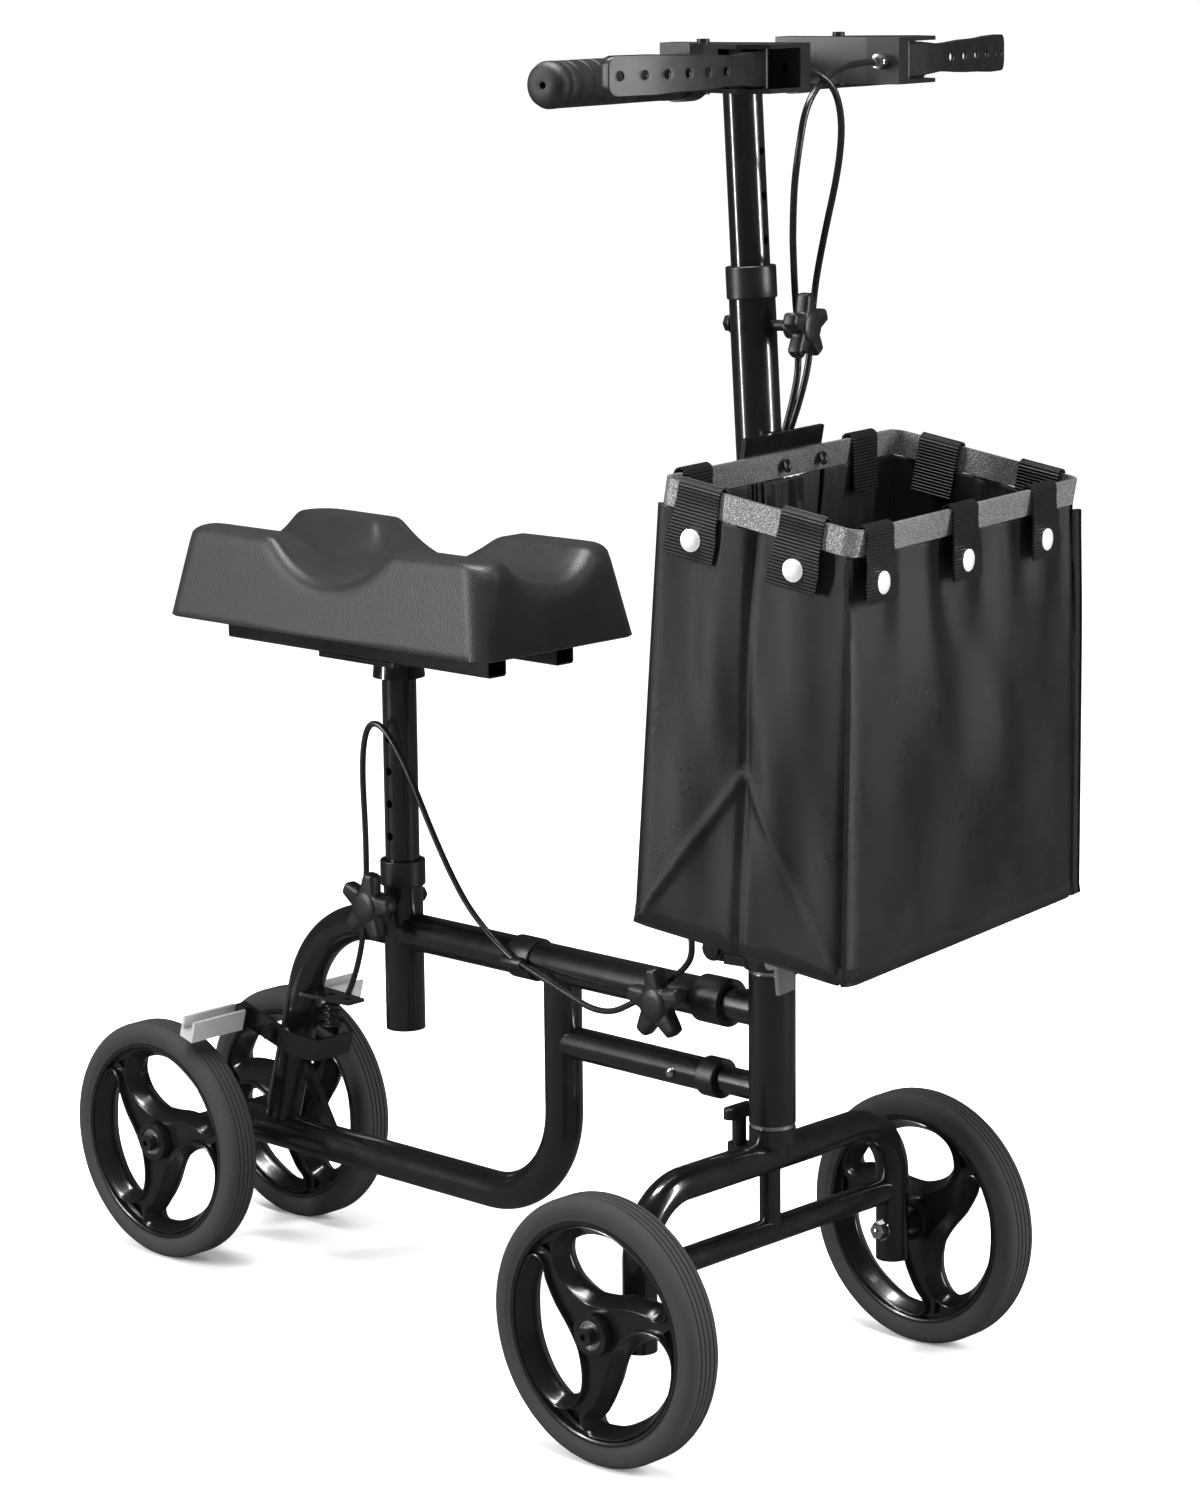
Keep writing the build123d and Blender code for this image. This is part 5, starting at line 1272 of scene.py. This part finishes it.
# -------------------------------------------------------------------------------- small hardware
@dataclass
class Hardware:
    """Nuts, screws, eyelets and the cable's clip, each standing on a face of the frame."""

    column: Place
    seat_x: float = -136.25
    axle_x: float = 254.35
    rear_bar: float = 15.4          # the strip frame's rear bar, ahead of the steering axis

    def standing(self, shell: Shell, at: tuple, out: tuple, up: tuple = (0.0, 0.0, 1.0)) -> Shell:
        """The shell moved so that its local z points out of a face at a point; all in one place's axes."""
        z = unit(np.asarray(out, float))
        x = unit(np.cross(np.asarray(up, float), z))
        verts = np.asarray(at, float) + shell.verts @ np.array([x, np.cross(z, x), z])
        return Shell(verts, shell.faces, shell.uv, shell.paint)

    def nut(self, across: float, height: float) -> Shell:
        """Domed nut: washer, hexagon and rounded cap."""
        washer = revolved([(CENTRE, 0), (across * 0.68, 0), (across * 0.68, 1.2), (CENTRE, 1.2)], 32)
        return washer + hexagon(across, height, 1.2) + dome(across * 0.36, across * 0.26, height)

    def clip(self) -> Shell:
        """Cable clip: a band round the top tube with a small saddle over the cable."""
        band = revolved([(15.05, -12), (16.6, -12), (17.0, -11), (17.0, 11), (16.6, 12), (15.05, 12)], 64,
                        closed=True)
        saddle = revolved([(CENTRE, -11), (4.2, -11), (4.8, -9), (4.8, 9), (4.2, 11), (CENTRE, 11)], 32)
        saddle.verts = saddle.verts + [0.0, -19.0, 0.0]
        return self.standing(band + saddle, (6.0, 0.0, 300.0), (1.0, 0.0, 0.0), (0.0, 1.0, 0.0))

    def build(self) -> None:
        """Makes each group of hardware on its body."""
        axle = merged(self.standing(self.nut(12.0, 6.0), (self.axle_x, side * 130.4, 100.0), (0, -side, 0))
                      for side in (1, -1))
        small = self.nut(11.0, 5.0)
        seat_nut = self.standing(small, (self.seat_x, 15.7, 326.0), (0, 1, 0))
        stem_nut = self.standing(small, (self.stem_back(STEM_KNOB_Z), 0, STEM_KNOB_Z), (-1, 0, 0))
        eyelet = revolved([(2.2, 0), (5.0, 0), (5.0, 1.0), (4.2, 1.6), (3.2, 1.6), (2.2, 0.8)], 28,
                          closed=True)
        screws = merged(self.standing(eyelet + dome(2.4, 1.2), (self.rear_bar, y, 708.0), (0.985, 0, 0.171))
                        for y in (-3.0, 47.0))
        for name, shell, place, body, finish in (
                ("axle_nuts", axle, ROW, "steering", CHROME),
                ("seat_clamp_nut", seat_nut, ROW, "rear_frame", BLACK_BOLT),
                ("stem_clamp_nut", stem_nut, self.column, "column", BLACK_BOLT),
                ("bracket_screws", screws, self.column, "column", BLACK_BOLT),
                ("cable_clip", self.clip(), ROW, "rear_frame", SATIN_PLASTIC)):
            join_piece(shell.placed(place).build(name, [finish.material()]), body, finish.slot)

    def stem_back(self, z: float) -> float:
        """How far ahead of the steering axis the leaning stem's rear face stands at a height."""
        at_fold, slope, fold, radius = 9.6, 0.05171, 345.0, 16.7
        return at_fold - slope * (z - fold) - radius


# ------------------------------------------------------------------------------- camera and studio
@dataclass
class Studio:
    """Pale floor, soft lights and the camera."""

    target: tuple = (0.08375, 0.0, 0.4754)
    eye: tuple = (2.20575, -2.2215, 1.0878)
    roll: float = 0.6214
    lens: float = 98.96
    world: float = 1.08
    reflected: float = 0.06         # of the world's strength, what a glossy ray meets
    diffuse_share: float = 0.22

    def camera(self) -> None:
        """Points a long lens at the target and turns it by the roll about its own axis."""
        target, eye = Vector(self.target), Vector(self.eye)
        back = (eye - target).normalized()
        across = (-back).cross(Vector((0, 0, 1))).normalized()
        down = (-back).cross(across)
        a = math.radians(self.roll)
        right = across * math.cos(a) + down * math.sin(a)
        low = down * math.cos(a) - across * math.sin(a)
        turned = Matrix((right, -low, back)).transposed()
        data = bpy.data.cameras.new("studio_camera")
        data.lens, data.sensor_width = self.lens, 36.0
        data.clip_end = 50.0
        camera = bpy.data.objects.new("studio_camera", data)
        camera.matrix_world = Matrix.Translation(eye) @ turned.to_4x4()
        bpy.context.scene.collection.objects.link(camera)
        bpy.context.scene.camera = camera

    def floor(self) -> None:
        """A wide pale floor disc, just under the wheels, that shows dark in glossy reflections."""
        rings = np.array([np.append(circle(96) * r, np.full((96, 1), -0.4), 1)
                          for r in (9000.0, 3000.0, 0.01)])
        disc = sheet_grid(rings, around=True).placed(ROW)
        finish = Finish("studio_floor", "", grey(0.965), grey(0.985), 0.8, 0.95, tone_scale=0.6, scale=40,
                        depth=0.0).material()
        tree = Tree(finish.node_tree, clear=False)
        shader, out = (next(n for n in finish.node_tree.nodes if n.type == kind)
                       for kind in ("BSDF_PRINCIPLED", "OUTPUT_MATERIAL"))
        path = tree.add("LightPath")
        seen = tree.add("BsdfDiffuse", Color=(*grey(0.05), 1.0))
        both = tree.add("MixShader", i0=path.outputs["Is Glossy Ray"], i1=shader.outputs[0],
                        i2=seen.outputs[0])
        tree.link(both.outputs[0], out.inputs[0])
        floor = disc.build("studio_floor", [finish])

    def lights(self) -> None:
        """A white world that shows dark in glossy reflections, a top light and two tall side lights.

        The dark reflections keep the black finishes black; the lights draw long streaks on tubes.
        """
        world = bpy.data.worlds.new("studio_world")
        world.use_nodes = True
        tree = Tree(world.node_tree)
        path = tree.add("LightPath")
        dim = tree.math("SUBTRACT", self.world, tree.math("MULTIPLY", path.outputs["Is Glossy Ray"],
                                                          self.world - self.reflected))
        back = tree.add("Background", Color=(1.0, 1.0, 1.0, 1.0), Strength=dim)
        out = tree.add("OutputWorld")
        tree.link(back.outputs[0], out.inputs[0])
        world.cycles.sampling_method = "NONE"
        bpy.context.scene.world = world
        bpy.context.scene.view_settings.view_transform = "Standard"
        for name, place, aim, size, power in (
                ("top_softbox", (0.1, -0.3, 2.6), (0.0, 0.0, 0.4), (1.5, 0.45), 120.0),
                ("left_strip", (-1.4, -2.4, 1.3), (0.0, 0.0, 0.4), (0.22, 2.2), 100.0),
                ("right_strip", (2.5, 1.0, 1.2), (0.0, 0.0, 0.4), (0.26, 2.2), 90.0)):
            data = bpy.data.lights.new(name, "AREA")
            data.shape, data.size, data.size_y, data.energy = "RECTANGLE", *size, power
            data.diffuse_factor = self.diffuse_share
            lamp = bpy.data.objects.new(name, data)
            turn = (Vector(aim) - Vector(place)).to_track_quat("-Z", "Y")
            lamp.matrix_world = Matrix.Translation(place) @ turn.to_matrix().to_4x4()
            bpy.context.scene.collection.objects.link(lamp)

    def build(self) -> None:
        """Makes the camera, floor and lights."""
        self.camera()
        self.floor()
        self.lights()


# --------------------------------------------------------------------------------------- the whole
def dress_nodes(frame: dict) -> None:
    """Gives every CAD node the finish of its material slot.

    Args:
        frame: the loaded frame.
    """
    slots = {piece["node"]: piece["material_slot"] for piece in frame["record"]["subparts"]}
    for name, node in frame["nodes"].items():
        finish = NODE_FINISHES[slots.get(name, "frame_paint")]
        for slot in node.material_slots:
            slot.material = finish.material()
        if not node.material_slots:
            node.data.materials.append(finish.material())


def column_place(frame: dict) -> Place:
    """The steering column's place: the fold joint's axis is its right, the steering axis its z."""
    joints = {joint["name"]: joint for joint in frame["record"]["behaviour"]["joints"]}
    right = joints["column_fold"]["axis"]
    x, y, _ = joints["steer"]["pos_m"]
    left = (-right[0], -right[1], 0.0)
    return Place((x, y, 0.0), (left[1], -left[0], 0.0), left)


def main() -> None:
    """Builds every sub-assembly in order."""
    logging.basicConfig(level=logging.INFO, format="%(message)s")
    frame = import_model()
    Studio().build()
    column = column_place(frame)
    Cables(column).build()
    for name in ("rear_right", "rear_left", "front_right", "front_left"):
        low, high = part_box(name + "_tyre")
        side = -1.0 if "right" in name else 1.0
        place = Place(tuple((low + high) / 2), (-side, 0.0, 0.0), (0.0, 0.0, 1.0), (0.0, side, 0.0))
        Wheel(name, place, lead=-5.0 if "rear" in name else 0.0).build()
    low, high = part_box("seat_post")
    Seat(x=(low.x + high.x) / 2 * MM).build()
    for node, body, x, z, turned in (("seat_knob", "seat_clamp", -0.13625, 0.326, (0.987, -0.16)),
                                     ("frame_knob", "frame_clamp", 0.17635, 0.3, (0.995, 0.1))):
        c, s = turned
        place = Place((x, -0.032, z), (c, 0.0, s), (-s, 0.0, c), (0.0, -1.0, 0.0))
        StarKnob(node, body, place, 27.5, 12.0, 18.0).build()
    stem = column.shifted(24.0, 0.0, STEM_KNOB_Z)
    StarKnob("stem_knob", "stem_clamp", Place(stem.origin, column.y, (0.0, 0.0, 1.0), column.x), 24.0,
             11.0, 22.0).build()
    BrakeBoot().build()
    Handlebar(column).build()
    Bag(column).build()
    Hardware(column).build()
    dress_nodes(frame)


if __name__ == "__main__":
    main()
